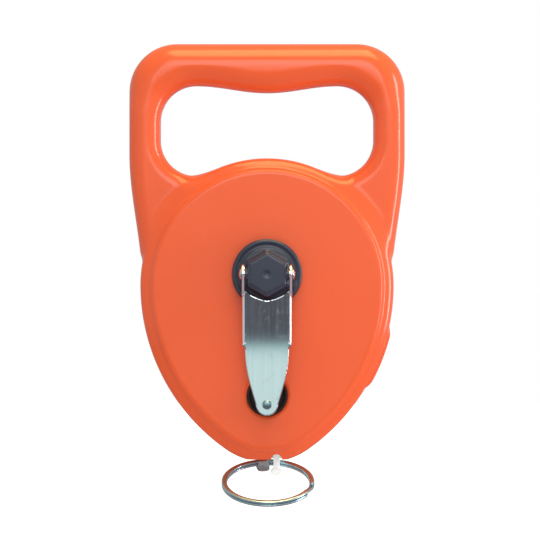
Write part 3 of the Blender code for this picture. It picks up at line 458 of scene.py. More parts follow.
shells = []
for side in ("front", "rear"):
    shell = new_piece(f"shell_{side}", mesh_of(f"shell_{side}", skin_points, skin_faces))
    room = new_piece("room", mesh_of("room", room_points, room_faces))
    half = CASE_DEPTH / 2
    near, far = (-CLEAR, -half - SEAM / 2) if side == "front" else (-half + SEAM / 2, CLEAR)
    keep = block("keep", (-200, near, -200), (200, far, 200))
    combine(shell, [room], "DIFFERENCE")
    combine(shell, [keep], "INTERSECT")
    mouth_x = LINER_HALF_X + LINER_WALL + LINER_GAP
    mouth_y = LINER_HALF_Y + LINER_WALL + LINER_GAP
    mouth = block(
        "mouth", (TAPE_X - mouth_x, TAPE_Y - mouth_y, -120), (TAPE_X + mouth_x, TAPE_Y + mouth_y, MOUTH_TOP)
    )
    groove = rod("groove", RING_GROOVE_R, (-CLEAR, TAPE_Y, RING_AT_Z), (CLEAR, TAPE_Y, RING_AT_Z))
    combine(shell, [mouth, groove], "DIFFERENCE")
    if side == "front":
        notch = rod("notch", NOTCH_R, (TAPE_X, TAPE_Y, -NOSE_END), (TAPE_X, -CLEAR, -NOSE_END), 64)
        bore = rod("bore", HUB_BORE_R, (0, -CLEAR, 0), (0, -half, 0))
        combine(shell, [notch, bore], "DIFFERENCE")
        floor, rim = CASE_DEPTH - WELL_DEPTH, CASE_DEPTH
        cup = rod("cup", WELL_R + WELL_WALL, (0, WELL_WALL - floor, WELL_Z), (0, 1.0 - rim, WELL_Z), 72)
        combine(shell, [cup], "UNION")
        lip = ((4, -4), (1.9, 0), (1.2, 0.12), (0.6, 0.5), (0.25, 1.1), (0.2, 1.8))
        well_profile = [(0, rim + 4)] + [(WELL_R + out, rim - down) for out, down in lip]
        well_profile += [(WELL_R + 0.2, floor), (0, floor)]
        combine(shell, [turned("well", well_profile, (0, 0, WELL_Z))], "DIFFERENCE")
    else:
        for x, z in SCREW_SPOTS:
            skin = HANDLE_LOW if z > 0 else 0.0
            column = rod("column", COLUMN_R, (x, -skin - COLUMN_BACK, z), (x, -half + SEAM / 2, z), 40)
            combine(shell, [column], "UNION")
            head_hole = rod("head_hole", SCREW_HEAD_HOLE_R, (x, 10, z), (x, -skin - SCREW_SINK, z), 40)
            shank_hole = rod("shank_hole", SCREW_HOLE_R, (x, 10, z), (x, -CLEAR, z), 32)
            combine(shell, [head_hole, shank_hole], "DIFFERENCE")
    shells.append(smooth(shell, 28))


def grouped(name, inputs, outputs):
    """An empty shader node group with named sockets, and its two end nodes."""
    tree = bpy.data.node_groups.new(name, "ShaderNodeTree")
    for label, kind, value in inputs:
        socket = tree.interface.new_socket(label, in_out="INPUT", socket_type=kind)
        if value is not None:
            socket.default_value = value
    for label, kind in outputs:
        tree.interface.new_socket(label, in_out="OUTPUT", socket_type=kind)
    return tree, tree.nodes.new("NodeGroupInput"), tree.nodes.new("NodeGroupOutput")


def wire(tree, *pairs):
    for source, target in pairs:
        tree.links.new(source, target)


def math_node(tree, operation, a, b=None, clamp=False):
    """A Math node fed by sockets or numbers. Returns its output."""
    node = tree.nodes.new("ShaderNodeMath")
    node.operation = operation
    node.use_clamp = clamp
    for slot, value in zip(node.inputs, (a, b)):
        if value is None:
            continue
        if isinstance(value, (int, float)):
            slot.default_value = value
        else:
            tree.links.new(value, slot)
    return node.outputs[0]


# Moulded grain: the fine, even texture of an etched mould, with a faint waviness under it.
grain_tree, grain_in, grain_out = grouped(
    "moulded_grain",
    [
        ("Vector", "NodeSocketVector", None),
        ("Grain Scale", "NodeSocketFloat", 2600.0),
        ("Wave Scale", "NodeSocketFloat", 90.0),
        ("Wave Share", "NodeSocketFloat", 0.5),
    ],
    [("Height", "NodeSocketFloat")],
)
grain_fine = grain_tree.nodes.new("ShaderNodeTexNoise")
grain_fine.inputs["Detail"].default_value = 2.0
grain_wave = grain_tree.nodes.new("ShaderNodeTexNoise")
grain_wave.inputs["Detail"].default_value = 1.0
wire(
    grain_tree,
    (grain_in.outputs["Vector"], grain_fine.inputs["Vector"]),
    (grain_in.outputs["Grain Scale"], grain_fine.inputs["Scale"]),
    (grain_in.outputs["Vector"], grain_wave.inputs["Vector"]),
    (grain_in.outputs["Wave Scale"], grain_wave.inputs["Scale"]),
)
grain_slow = math_node(grain_tree, "MULTIPLY", grain_wave.outputs["Fac"], grain_in.outputs["Wave Share"])
grain_sum = math_node(grain_tree, "ADD", grain_fine.outputs["Fac"], grain_slow)
wire(grain_tree, (grain_sum, grain_out.inputs["Height"]))

# Handling wear: sparse hairline scuffs and a cloudy film from hands, as two masks.
wear_tree, wear_in, wear_out = grouped(
    "handling_wear",
    [
        ("Vector", "NodeSocketVector", None),
        ("Scuff Scale", "NodeSocketFloat", 60.0),
        ("Film Scale", "NodeSocketFloat", 25.0),
    ],
    [("Scuffs", "NodeSocketFloat"), ("Film", "NodeSocketFloat")],
)
wear_map = wear_tree.nodes.new("ShaderNodeMapping")
wear_map.inputs["Rotation"].default_value = (0.3, 0.9, 0.4)
wear_map.inputs["Scale"].default_value = (1.0, 1.0, 0.06)
wear_lines = wear_tree.nodes.new("ShaderNodeTexNoise")
wear_lines.inputs["Detail"].default_value = 4.0
wear_lines.inputs["Roughness"].default_value = 0.6
wear_patches = wear_tree.nodes.new("ShaderNodeTexNoise")
wear_patches.inputs["Detail"].default_value = 3.0
wire(
    wear_tree,
    (wear_in.outputs["Vector"], wear_map.inputs["Vector"]),
    (wear_map.outputs["Vector"], wear_lines.inputs["Vector"]),
    (wear_in.outputs["Scuff Scale"], wear_lines.inputs["Scale"]),
    (wear_in.outputs["Vector"], wear_patches.inputs["Vector"]),
    (wear_in.outputs["Film Scale"], wear_patches.inputs["Scale"]),
)
wear_thin = wear_tree.nodes.new("ShaderNodeMapRange")
wear_thin.inputs["From Min"].default_value = 0.64
wear_thin.inputs["From Max"].default_value = 0.72
wear_film = wear_tree.nodes.new("ShaderNodeMapRange")
wear_film.inputs["From Min"].default_value = 0.35
wear_film.inputs["From Max"].default_value = 0.75
wire(
    wear_tree,
    (wear_lines.outputs["Fac"], wear_thin.inputs["Value"]),
    (wear_patches.outputs["Fac"], wear_film.inputs["Value"]),
    (wear_thin.outputs["Result"], wear_out.inputs["Scuffs"]),
    (wear_film.outputs["Result"], wear_out.inputs["Film"]),
)


def plastic(name, colour, worn, roughness, bump, grain_scale=2600.0, film=0.10, scuffs=0.35):
    """A moulded plastic: grain in its normal, scuffs and hand film in its colour and gloss."""
    material = bpy.data.materials.new(name)
    material.use_nodes = True
    tree = material.node_tree
    shader = tree.nodes["Principled BSDF"]
    where = tree.nodes.new("ShaderNodeTexCoord")
    grain = tree.nodes.new("ShaderNodeGroup")
    grain.node_tree = grain_tree
    grain.inputs["Grain Scale"].default_value = grain_scale
    wear = tree.nodes.new("ShaderNodeGroup")
    wear.node_tree = wear_tree
    wire(
        tree,
        (where.outputs["Object"], grain.inputs["Vector"]),
        (where.outputs["Object"], wear.inputs["Vector"]),
    )
    tint = tree.nodes.new("ShaderNodeMix")
    tint.data_type = "RGBA"
    tint.inputs["A"].default_value = (*colour, 1)
    tint.inputs["B"].default_value = (*worn, 1)
    scuffed = math_node(tree, "MULTIPLY", wear.outputs["Scuffs"], scuffs)
    filmed = math_node(tree, "MULTIPLY", wear.outputs["Film"], film)
    amount = math_node(tree, "ADD", scuffed, filmed, clamp=True)
    rough = math_node(tree, "ADD", math_node(tree, "MULTIPLY", amount, 0.5), roughness)
    relief = tree.nodes.new("ShaderNodeBump")
    relief.inputs["Strength"].default_value = 1.0
    relief.inputs["Distance"].default_value = bump
    wire(
        tree,
        (amount, tint.inputs["Factor"]),
        (tint.outputs["Result"], shader.inputs["Base Color"]),
        (rough, shader.inputs["Roughness"]),
        (grain.outputs["Height"], relief.inputs["Height"]),
        (relief.outputs["Normal"], shader.inputs["Normal"]),
    )
    return material


orange_abs = plastic("orange_abs", (0.85, 0.128, 0.042), (0.92, 0.18, 0.08), 0.17, 1.5e-6, scuffs=0.08)
for shell in shells:
    shell.data.materials.clear()
    shell.data.materials.append(orange_abs)
    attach(shell, "case")
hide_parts("front_shell")
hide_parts("rear_shell")

# ---------------------------------------------------------------- crank hub
# A turned hub of black moulded plastic with a hexagonal boss, one shape worked out as a distance
# field so that its corners are soft. It turns with the drum.

HUB_R, HUB_LOW, HUB_TOP, HUB_EDGE = 17.5, 36.8, 40.8, 1.3
DISH_AT, DISH_R, DISH_RISE = 14.4, 1.3, 0.9
BOSS_R, BOSS_TOP, BOSS_EDGE, BOSS_TRIM = 11.6, 51.6, 2.1, 0.35
DIMPLE_R, DIMPLE_RISE = 2.6, 2.2
HINGE_H, HINGE_BORE_R = 48.0, 2.0
HINGE_BAR_R, HINGE_BAR_HALF = 3.2, 11.0
COS_30 = math.cos(math.radians(30))


def hub_distance(x, y, z):
    lift = -y
    radius = np.hypot(x, z)
    disc = slab(radius - HUB_R, y, HUB_LOW, HUB_TOP, HUB_EDGE)
    dish = np.hypot(radius - DISH_AT, lift - HUB_TOP - DISH_RISE) - DISH_R
    disc = -soft_union(-disc, dish, 0.8)
    sides = np.maximum(np.abs(x), np.abs(x) / 2 + np.abs(z) * COS_30) - BOSS_R * COS_30
    boss = slab(np.maximum(sides, radius - BOSS_R + BOSS_TRIM), y, HUB_LOW, BOSS_TOP, BOSS_EDGE)
    dimple = np.hypot(radius, lift - BOSS_TOP - DIMPLE_RISE) - DIMPLE_R
    boss = -soft_union(-boss, dimple, 0.6)
    bar = np.hypot(z, lift - HINGE_H) - HINGE_BAR_R
    bar = np.maximum(bar, np.abs(x) - HINGE_BAR_HALF)
    hub = np.minimum(soft_union(disc, boss, 1.6), bar)
    hole = np.hypot(z, lift - HINGE_H) - HINGE_BORE_R
    return np.maximum(hub, -hole)


def from_distance(name, distance, low, high, step, settle=3):
    points, faces = surface_of(distance, low, high, step, settle)
    return new_piece(name, mesh_of(name, points, faces))


hub = smooth(from_distance("hub", hub_distance, (-19, -53, -19), (19, -36, 19), 0.4), 40)
black_gloss = plastic("black_gloss", (0.034, 0.042, 0.080), (0.10, 0.10, 0.12), 0.22, 2e-6, 1800.0, 0.12, 0.5)
hub.data.materials.append(black_gloss)
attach(hub, "drum")
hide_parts("crank_hub")

# ---------------------------------------------------------------- crank arm
# A pressed and plated steel arm: a web folded down along both sides, ears round the hinge pin, a
# step in at the bend and a blade that tapers to a round tip. One folded sheet, round at its folds.

SHEET = 1.2
ARM_HALF, EAR_R = 12.5, 4.6
BEND_Z = -35.0
FLAT_TOP, WEB_DROP = 46.5, 2.1
FOLD_R = 1.5
FLANGE_LOW, FLANGE_FROM, FLANGE_RISE = 43.4, -29.0, 0.45
FLANGE_TOP = -2.0
WEB_TOP, WEB_DIP = -13.3, 4.6
EAR_RUN, EAR_SINK, EAR_TAPER, EAR_SOFT = 9.0, 0.9, 3.0, 0.25
BEND_SOFT = 6.5
KNOB_Z = -65.0
TIP_HALF, BLADE_HALF, BLADE_EDGE = 5.5, 10.9, 0.3
BLADE_FROM = BEND_Z - 2.8
RIVET_BORE_R = 1.6


def arm_distance(x, y, z):
    lift, side = -y, np.abs(x)
    past = z - BEND_Z
    rise = (past + np.sqrt(past * past + BEND_SOFT**2)) / 2
    middle = FLAT_TOP - SHEET / 2 - WEB_DROP / BEND_Z * rise
    sheet = np.abs(lift - middle) - SHEET / 2
    inner = ARM_HALF - SHEET / 2 - FOLD_R
    a, b = side - inner, lift - middle + FOLD_R
    fold = np.abs(corner(a, b) - FOLD_R) - SHEET / 2
    low_edge = FLANGE_LOW + np.clip(FLANGE_FROM - z, 0, None) * FLANGE_RISE
    flange_ends = np.maximum(np.maximum(z - FLANGE_TOP, low_edge - lift), BEND_Z + 0.6 - z)
    top_edge = z - WEB_TOP - WEB_DIP * (np.clip(side / 10.6, 0, 1) ** 1.7)
    web_end = BEND_Z + 0.6 - 4.0 * np.clip(11.0 - side, 0, 1) - z
    web = np.maximum(fold, np.where(side > 11.2, flange_ends, np.maximum(top_edge, web_end)))
    ear_along = np.clip(-z / EAR_RUN, 0, 1)
    ear_middle = HINGE_H - EAR_SINK * ear_along
    ear = np.hypot(z + EAR_RUN * ear_along, lift - ear_middle) - (EAR_R - EAR_TAPER * ear_along)
    ear = np.maximum(ear, np.abs(side - ARM_HALF + SHEET / 2) - SHEET / 2 + EAR_SOFT)
    channel = soft_union(web, ear - EAR_SOFT, 0.5)
    share = np.clip((z - KNOB_Z) / (BLADE_FROM - KNOB_Z), 0, 1)
    half = TIP_HALF + (BLADE_HALF - TIP_HALF) * np.sin(share * math.pi / 2)
    flare = np.clip((z - BLADE_FROM) / 2.6, 0, 1) ** 2 * np.clip((BEND_Z + 0.9 - z) / 0.8, 0, 1)
    half = half + (ARM_HALF - BLADE_HALF) * flare
    blade = np.maximum(side - half, z - BEND_Z - 5.0)
    tip = np.hypot(x, z - KNOB_Z) - TIP_HALF
    plan = np.where(z < KNOB_Z, tip, blade)
    blade = corner(sheet + BLADE_EDGE, plan + BLADE_EDGE) - BLADE_EDGE
    arm = np.minimum(channel, blade)
    pin_hole = np.hypot(z, lift - HINGE_H) - HINGE_BORE_R
    rivet_hole = np.hypot(x, z - KNOB_Z) - RIVET_BORE_R
    return np.maximum(arm, -np.minimum(pin_hole, rivet_hole))


arm = smooth(from_distance("arm", arm_distance, (-13.2, -53.4, -71.2), (13.2, -41.8, 5.4), 0.3), 40)

# Plated metal: fine rolling lines and hairline scratches in the gloss, a few dull spots.
plate_tree, plate_in, plate_out = grouped(
    "plated_metal",
    [
        ("Vector", "NodeSocketVector", None),
        ("Line Scale", "NodeSocketFloat", 900.0),
        ("Spot Scale", "NodeSocketFloat", 220.0),
        ("Gloss", "NodeSocketFloat", 0.10),
        ("Wear", "NodeSocketFloat", 0.2),
    ],
    [("Roughness", "NodeSocketFloat"), ("Dulling", "NodeSocketFloat"), ("Height", "NodeSocketFloat")],
)
plate_map = plate_tree.nodes.new("ShaderNodeMapping")
plate_map.inputs["Scale"].default_value = (1.0, 1.0, 0.03)
plate_lines = plate_tree.nodes.new("ShaderNodeTexNoise")
plate_lines.inputs["Detail"].default_value = 3.0
plate_spots = plate_tree.nodes.new("ShaderNodeTexNoise")
plate_spots.inputs["Detail"].default_value = 5.0
plate_spots.inputs["Roughness"].default_value = 0.65
plate_dull = plate_tree.nodes.new("ShaderNodeMapRange")
plate_dull.inputs["From Min"].default_value = 0.58
plate_dull.inputs["From Max"].default_value = 0.78
wire(
    plate_tree,
    (plate_in.outputs["Vector"], plate_map.inputs["Vector"]),
    (plate_map.outputs["Vector"], plate_lines.inputs["Vector"]),
    (plate_in.outputs["Line Scale"], plate_lines.inputs["Scale"]),
    (plate_in.outputs["Vector"], plate_spots.inputs["Vector"]),
    (plate_in.outputs["Spot Scale"], plate_spots.inputs["Scale"]),
    (plate_spots.outputs["Fac"], plate_dull.inputs["Value"]),
)
plate_worn = math_node(plate_tree, "MULTIPLY", plate_dull.outputs["Result"], plate_in.outputs["Wear"])
plate_fine = math_node(plate_tree, "MULTIPLY", plate_lines.outputs["Fac"], 0.08)
plate_coarse = math_node(plate_tree, "MULTIPLY", plate_worn, 0.5)
plate_rough = math_node(plate_tree, "ADD", plate_in.outputs["Gloss"], plate_fine)
plate_rough = math_node(plate_tree, "ADD", plate_rough, plate_coarse)
wire(
    plate_tree,
    (plate_rough, plate_out.inputs["Roughness"]),
    (plate_worn, plate_out.inputs["Dulling"]),
    (plate_lines.outputs["Fac"], plate_out.inputs["Height"]),
)


def metal(name, colour, dull, gloss, wear, line_scale=900.0, spot_scale=220.0, bump=4e-7):
    """A plated or bare metal: rolling lines in its normal, dull spots in its colour and gloss."""
    material = bpy.data.materials.new(name)
    material.use_nodes = True
    tree = material.node_tree
    shader = tree.nodes["Principled BSDF"]
    shader.inputs["Metallic"].default_value = 1.0
    where = tree.nodes.new("ShaderNodeTexCoord")
    plating = tree.nodes.new("ShaderNodeGroup")
    plating.node_tree = plate_tree
    plating.inputs["Line Scale"].default_value = line_scale
    plating.inputs["Spot Scale"].default_value = spot_scale
    plating.inputs["Gloss"].default_value = gloss
    plating.inputs["Wear"].default_value = wear
    tint = tree.nodes.new("ShaderNodeMix")
    tint.data_type = "RGBA"
    tint.inputs["A"].default_value = (*colour, 1)
    tint.inputs["B"].default_value = (*dull, 1)
    relief = tree.nodes.new("ShaderNodeBump")
    relief.inputs["Distance"].default_value = bump
    wire(
        tree,
        (where.outputs["Object"], plating.inputs["Vector"]),
        (plating.outputs["Dulling"], tint.inputs["Factor"]),
        (tint.outputs["Result"], shader.inputs["Base Color"]),
        (plating.outputs["Roughness"], shader.inputs["Roughness"]),
        (plating.outputs["Height"], relief.inputs["Height"]),
        (relief.outputs["Normal"], shader.inputs["Normal"]),
    )
    return material


bright_plate = metal("bright_plate", (0.96, 0.975, 0.975), (0.62, 0.63, 0.62), 0.07, 0.16)
arm.data.materials.append(bright_plate)
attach(arm, "crank")
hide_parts("crank_arm")

# ---------------------------------------------------------------- hinge pin
# A bare steel pin through the boss and both ears, its ends peened into low domes that keep the ears
# on. It is driven into the boss and the arm turns on it.

PIN_R, PIN_REACH = 1.8, 13.5
DOME_R, DOME_AT, DOME_SEAT = 2.7, 12.75, 12.65


def pin_distance(x, y, z):
    radius = np.hypot(z, -y - HINGE_H)
    shank = np.maximum(radius - PIN_R, np.abs(x) - PIN_REACH + 0.6)
    dome = np.hypot(radius, np.maximum(np.abs(np.abs(x) - DOME_AT) - 0.1, 0) * 2.2) - DOME_R
    dome = np.maximum(dome, DOME_SEAT - np.abs(x))
    return soft_union(shank, dome, 0.3)


pin = smooth(from_distance("pin", pin_distance, (-14.4, -51.4, -3.4), (14.4, -44.6, 3.4), 0.25), 40)
bare_steel = metal("bare_steel", (0.72, 0.73, 0.74), (0.40, 0.39, 0.38), 0.22, 0.45, line_scale=1500.0)
pin.data.materials.append(bare_steel)
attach(pin, "drum")
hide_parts("hinge_pin")

# ---------------------------------------------------------------- knob and its rivet
# A waisted knob of black moulded plastic, free to turn on a plated steel rivet. The rivet's low domed
# head shows on the blade's tip, and its other end is peened in the knob's foot.

KNOB_LOW, KNOB_HIGH, KNOB_R = 36.7, 44.45, 5.6
RIVET_R, RIVET_HEAD_R = 1.4, 2.4

knob_bore = RIVET_R + 0.18
knob_middle = (KNOB_LOW + KNOB_HIGH) / 2
knob_profile = [(knob_bore, KNOB_HIGH), (KNOB_R - 1.0, KNOB_HIGH), (KNOB_R - 0.5, KNOB_HIGH - 0.15)]
knob_profile += [(KNOB_R - 0.2, KNOB_HIGH - 0.5), (KNOB_R - 0.2, KNOB_HIGH - 1.2)]
knob_profile += [(KNOB_R - 0.9 + 0.0625 * (k / 2) ** 2, knob_middle - k * 0.3) for k in range(-5, 6)]
foot = ((0, 1.3), (0.15, 0.7), (0.5, 0.2), (1.0, 0))
knob_profile += [(KNOB_R - inward, KNOB_LOW + up) for inward, up in foot]
knob_profile += [(RIVET_R * 2, KNOB_LOW), (RIVET_R * 2, KNOB_LOW + 1.6), (knob_bore, KNOB_LOW + 1.6)]
knob = smooth(turned("knob", knob_profile, (0, 0, KNOB_Z)), 35)
knob.data.materials.append(black_gloss)
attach(knob, "knob")
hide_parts("crank_knob")



def quarter(steps, first=0):
    """The cosine and sine of even steps through a quarter turn."""
    turns = [k / steps * math.pi / 2 for k in range(first, steps)]
    return [(math.cos(turn), math.sin(turn)) for turn in turns]


rivet_seat, rivet_dome = FLAT_TOP + 0.15, 0.8
rivet_profile = [(0, rivet_seat + rivet_dome)]
rivet_profile += [(RIVET_HEAD_R * out, rivet_seat + rivet_dome * up**0.7) for up, out in quarter(6, 1)]
rivet_profile += [(RIVET_HEAD_R, rivet_seat), (RIVET_R, rivet_seat), (RIVET_R, KNOB_LOW + 1.45)]
rivet_profile += [(RIVET_R * 1.7, KNOB_LOW + 1.45), (RIVET_R * 1.5, KNOB_LOW + 0.4), (0, KNOB_LOW + 0.4)]
rivet = smooth(turned("rivet", rivet_profile, (0, 0, KNOB_Z), 64), 35)
rivet_plate = metal("rivet_plate", (0.30, 0.44, 0.45), (0.24, 0.26, 0.26), 0.24, 0.6, spot_scale=700.0)
rivet.data.materials.append(rivet_plate)
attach(rivet, "crank")
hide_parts("knob_rivet")

# ---------------------------------------------------------------- well cup
# A satin black plastic cup with a rolled lip, turned as one profile. It is pressed into the well and
# guards it from the knob. Its black is painted shade, standing in for the shadow deep in the well.

CUP_FLOOR, CUP_RIM, CUP_R, CUP_WALL, CUP_FILLET = 28.8, 35.1, 10.0, 0.9, 1.2
cup_inner = CUP_R - CUP_WALL
cup_profile = [(0, CUP_FLOOR), (CUP_R - 0.4, CUP_FLOOR), (CUP_R, CUP_FLOOR + 0.4)]
cup_lip = ((0, 0.3), (0.15, 0.05), (0.4, 0), (0.7, 0.1), (CUP_WALL, 0.4))
cup_profile += [(CUP_R - inward, CUP_RIM - down) for inward, down in cup_lip]
cup_bottom = CUP_FLOOR + CUP_WALL
cup_profile += [
    (cup_inner - CUP_FILLET + CUP_FILLET * out, cup_bottom + CUP_FILLET - CUP_FILLET * down)
    for out, down in quarter(5) + [(0, 1)]
]
cup_profile += [(0, cup_bottom)]
cup = smooth(turned("well_cup", cup_profile, (0, 0, WELL_Z)), 35)
# Painted shade: a near-black finish that darkens the well, where only shadow falls.
well_shade_black = plastic("well_shade_black", (0.022, 0.020, 0.026), (0.09, 0.08, 0.09), 0.42, 3e-6, film=0.2)
cup.data.materials.append(well_shade_black)
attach(cup, "case")
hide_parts("knob_cup")

# ---------------------------------------------------------------- end ring
# A sprung, plated steel key ring of two flat turns, with a crossover where one turn steps up to the
# other. It is a loop of sections swept twice round, and it hangs in the tab's eye.

RING_HINGE = (TAPE_X, TAPE_Y, RING_AT_Z)
RING_R, RING_X = 21.9, 0.5
RING_TILT = math.radians(26)
RING_REACH = math.sqrt(RING_R**2 - (RING_HINGE[0] - RING_X) ** 2)
TURN_HALF_WIDTH, TURN_HALF_HEIGHT = 1.35, 0.74
CROSSOVER_AT, CROSSOVER_SPAN, END_GAP = 0.30, 0.08, 0.03
RING_ROWS, RING_SIDES = 300, 16


def from_ring(point):
    """From the ring's own plane, centred on the hinge line, to where it lies at rest."""
    x, y, h = point
    turn = RING_TILT - math.pi / 2
    along, lift = y * math.cos(turn) - h * math.sin(turn), y * math.sin(turn) + h * math.cos(turn)
    return (RING_HINGE[0] + x, RING_HINGE[1] - lift, RING_HINGE[2] + along)


def squared(part):
    """A sine or cosine pushed outwards, so that the round section it draws gets flatter sides."""
    return math.copysign(abs(part) ** 0.75, part)


ring_work = bmesh.new()
ring_rows = []
for row in range(RING_ROWS + 1):
    share = row / RING_ROWS
    turns = END_GAP + share * (2 - 2 * END_GAP)
    turn = (CROSSOVER_AT + turns) * math.tau
    step = min(1.0, max(0.0, (turns - 1 + CROSSOVER_SPAN / 2) / CROSSOVER_SPAN))
    level = (eased(step) - 0.5) * 2 * (TURN_HALF_HEIGHT + 0.03)
    narrow = min(1.0, 0.6 + 60 * min(share, 1 - share))
    loop = []
    for side in range(RING_SIDES):
        angle = side / RING_SIDES * math.tau
        radius = RING_R + squared(math.cos(angle)) * TURN_HALF_WIDTH * narrow
        up = squared(math.sin(angle)) * TURN_HALF_HEIGHT * narrow
        x = RING_X - RING_HINGE[0] + radius * math.sin(turn)
        y = radius * math.cos(turn) - RING_REACH
        loop.append(ring_work.verts.new(from_ring((x, y, level + up))))
    ring_rows.append(loop)
for first, second in zip(ring_rows, ring_rows[1:]):
    for side in range(RING_SIDES):
        following = (side + 1) % RING_SIDES
        ring_work.faces.new((first[side], first[following], second[following], second[side]))
ring_work.faces.new(ring_rows[0][::-1])
ring_work.faces.new(ring_rows[-1])
bmesh.ops.recalc_face_normals(ring_work, faces=ring_work.faces)
bmesh.ops.scale(ring_work, vec=(MM, MM, MM), verts=ring_work.verts)
ring_mesh = bpy.data.meshes.new("split_ring")
ring_work.to_mesh(ring_mesh)
ring_work.free()
ring = smooth(new_piece("split_ring", ring_mesh), 50)
ring_plate = metal("ring_plate", (0.48, 0.66, 0.72), (0.34, 0.36, 0.38), 0.24, 0.15, line_scale=200.0)
ring.data.materials.append(ring_plate)
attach(ring, "ring")
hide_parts("end_ring")

# ---------------------------------------------------------------- ring claw
# A small grey steel clip folded round the ring's wire, with a rounded tongue that lies inside the
# ring. It holds on by its fold alone, so that it can be turned on the wire.

CLAW_X, CLAW_HALF, CLAW_IN, CLAW_OUT, CLAW_REACH = -2.1, 3.5, 2.05, 2.4, 4.8
CLAW_EDGE, TONGUE_EDGE, TONGUE_R, CLAW_TAPER = 0.3, 0.22, 2.6, 0.12
CLAW_SLANT = math.asin((CLAW_X - RING_X) / RING_R)


def claw_distance(x, y, z):
    """The clip with its wire along x, its tongue towards -y and the ring's axis along z."""
    radius = np.hypot(y, z)
    side = np.abs(x) - CLAW_HALF + CLAW_TAPER * np.clip(-y, 0, None)
    sleeve = corner(radius - CLAW_OUT + CLAW_EDGE, side + 0.9) - CLAW_EDGE
    lip = np.maximum(np.abs(z + (CLAW_IN + CLAW_OUT) / 2) - 0.12, np.maximum(-y - CLAW_REACH, y))
    end = np.hypot(np.maximum(np.abs(x) - 0.6, 0), y + CLAW_REACH - TONGUE_R) - TONGUE_R
    end = np.where(y < TONGUE_R - CLAW_REACH, end, -1)
    tongue = np.maximum(lip, np.maximum(side + 0.3, end)) - TONGUE_EDGE
    clip = soft_union(sleeve, tongue, 0.5)
    return np.maximum(clip, CLAW_IN - radius)


claw_points, claw_faces = surface_of(claw_distance, (-4, -8, -4), (4, 4, 4), 0.18, 3)
claw_turn = np.array(Matrix.Rotation(-CLAW_SLANT, 3, "Z"))
claw_seat = (CLAW_X - RING_HINGE[0], RING_R * math.cos(CLAW_SLANT) - RING_REACH, 0)
claw_points = claw_points @ claw_turn.T + np.array(claw_seat)
claw_points = np.array([from_ring(point) for point in claw_points])
claw = smooth(new_piece("claw", mesh_of("claw", claw_points, claw_faces)), 40)
grey_claw = metal("grey_claw", (0.66, 0.74, 0.76), (0.40, 0.42, 0.44), 0.46, 0.4, spot_scale=500.0)
claw.data.materials.append(grey_claw)
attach(claw, "claw")
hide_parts("ring_claw")

# ---------------------------------------------------------------- end tab
# A white nylon tab moulded over the tape's end: a flat stem with a thick rounded foot and an eye
# for the ring.

TAB_TOP, TAB_END, TAB_HALF = -84.5, -100.8, 1.6
TAB_WIDTH, TAB_EDGE = 13.0, 0.5
FOOT_R, FOOT_HALF, FOOT_EDGE = 1.45, 1.5, 0.6
RIB_Z, RIB_R = -89.2, 0.45
EYE_R, SLIT_HALF, SLIT_END = 2.5, 0.33, -90.8
TAB_RIVET_Z, TAB_RIVET_AT, TAB_RIVET_R = -87.3, 3.6, 0.85


def tab_distance(x, y, z):
    side, depth = np.abs(x - TAPE_X), np.abs(y - TAPE_Y)
    a = side - TAB_HALF + TAB_EDGE
    b = depth - TAB_WIDTH / 2 + 0.9
    c = np.abs(z - (TAB_TOP + TAB_END) / 2) - (TAB_TOP - TAB_END) / 2 + FOOT_EDGE
    stem = np.sqrt(np.maximum(a, 0) ** 2 + np.maximum(b, 0) ** 2 + np.maximum(c, 0) ** 2)
    stem = stem + np.minimum(np.maximum(np.maximum(a, b), c), 0) - TAB_EDGE
    foot = np.hypot(np.maximum(side - FOOT_HALF, 0), z - TAB_END - FOOT_R) - FOOT_R
    foot = corner(foot + FOOT_EDGE, depth - TAB_WIDTH / 2 + FOOT_EDGE) - FOOT_EDGE
    rib = np.hypot(z - RIB_Z, side - TAB_HALF + 0.1) - RIB_R
    rib = np.maximum(rib, depth - TAB_WIDTH / 2 + 1.0)
    tab = soft_union(soft_union(stem, foot, 1.2), rib, 0.4)
    eye = np.hypot(z - RING_HINGE[2], y - TAPE_Y) - EYE_R - np.clip(side - 1.2, 0, 1) ** 2
    tab = -soft_union(-tab, eye, 0.4)
    slit = np.maximum(side - SLIT_HALF, SLIT_END - z)
    rivet_hole = np.hypot(z - TAB_RIVET_Z, depth - TAB_RIVET_AT) - TAB_RIVET_R
    return np.maximum(tab, -np.minimum(slit, rivet_hole))


tab = smooth(from_distance("tab", tab_distance, (0.9, -23.2, -101.6), (8.7, -8.4, -83.8), 0.22), 40)
white_nylon = plastic("white_nylon", (0.90, 0.97, 1.0), (0.62, 0.66, 0.62), 0.36, 4e-6, 1500.0, 0.2)
# Painted glow: a little cool emission lifts the tab out of the shade under the case.
tab_glow_shader = white_nylon.node_tree.nodes["Principled BSDF"]
tab_glow_shader.inputs["Emission Color"].default_value = (0.60, 0.90, 1.0, 1)
tab_glow_shader.inputs["Emission Strength"].default_value = 0.28
tab.data.materials.append(white_nylon)
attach(tab, "tape_end")
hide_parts("end_tab")

# ---------------------------------------------------------------- mouth liner
# A folded sleeve of bare steel that takes the wear where the tape leaves the nose, notched in front
# for the tab. It is a bevelled block, hollowed, and it sits in the mouth between the shells.

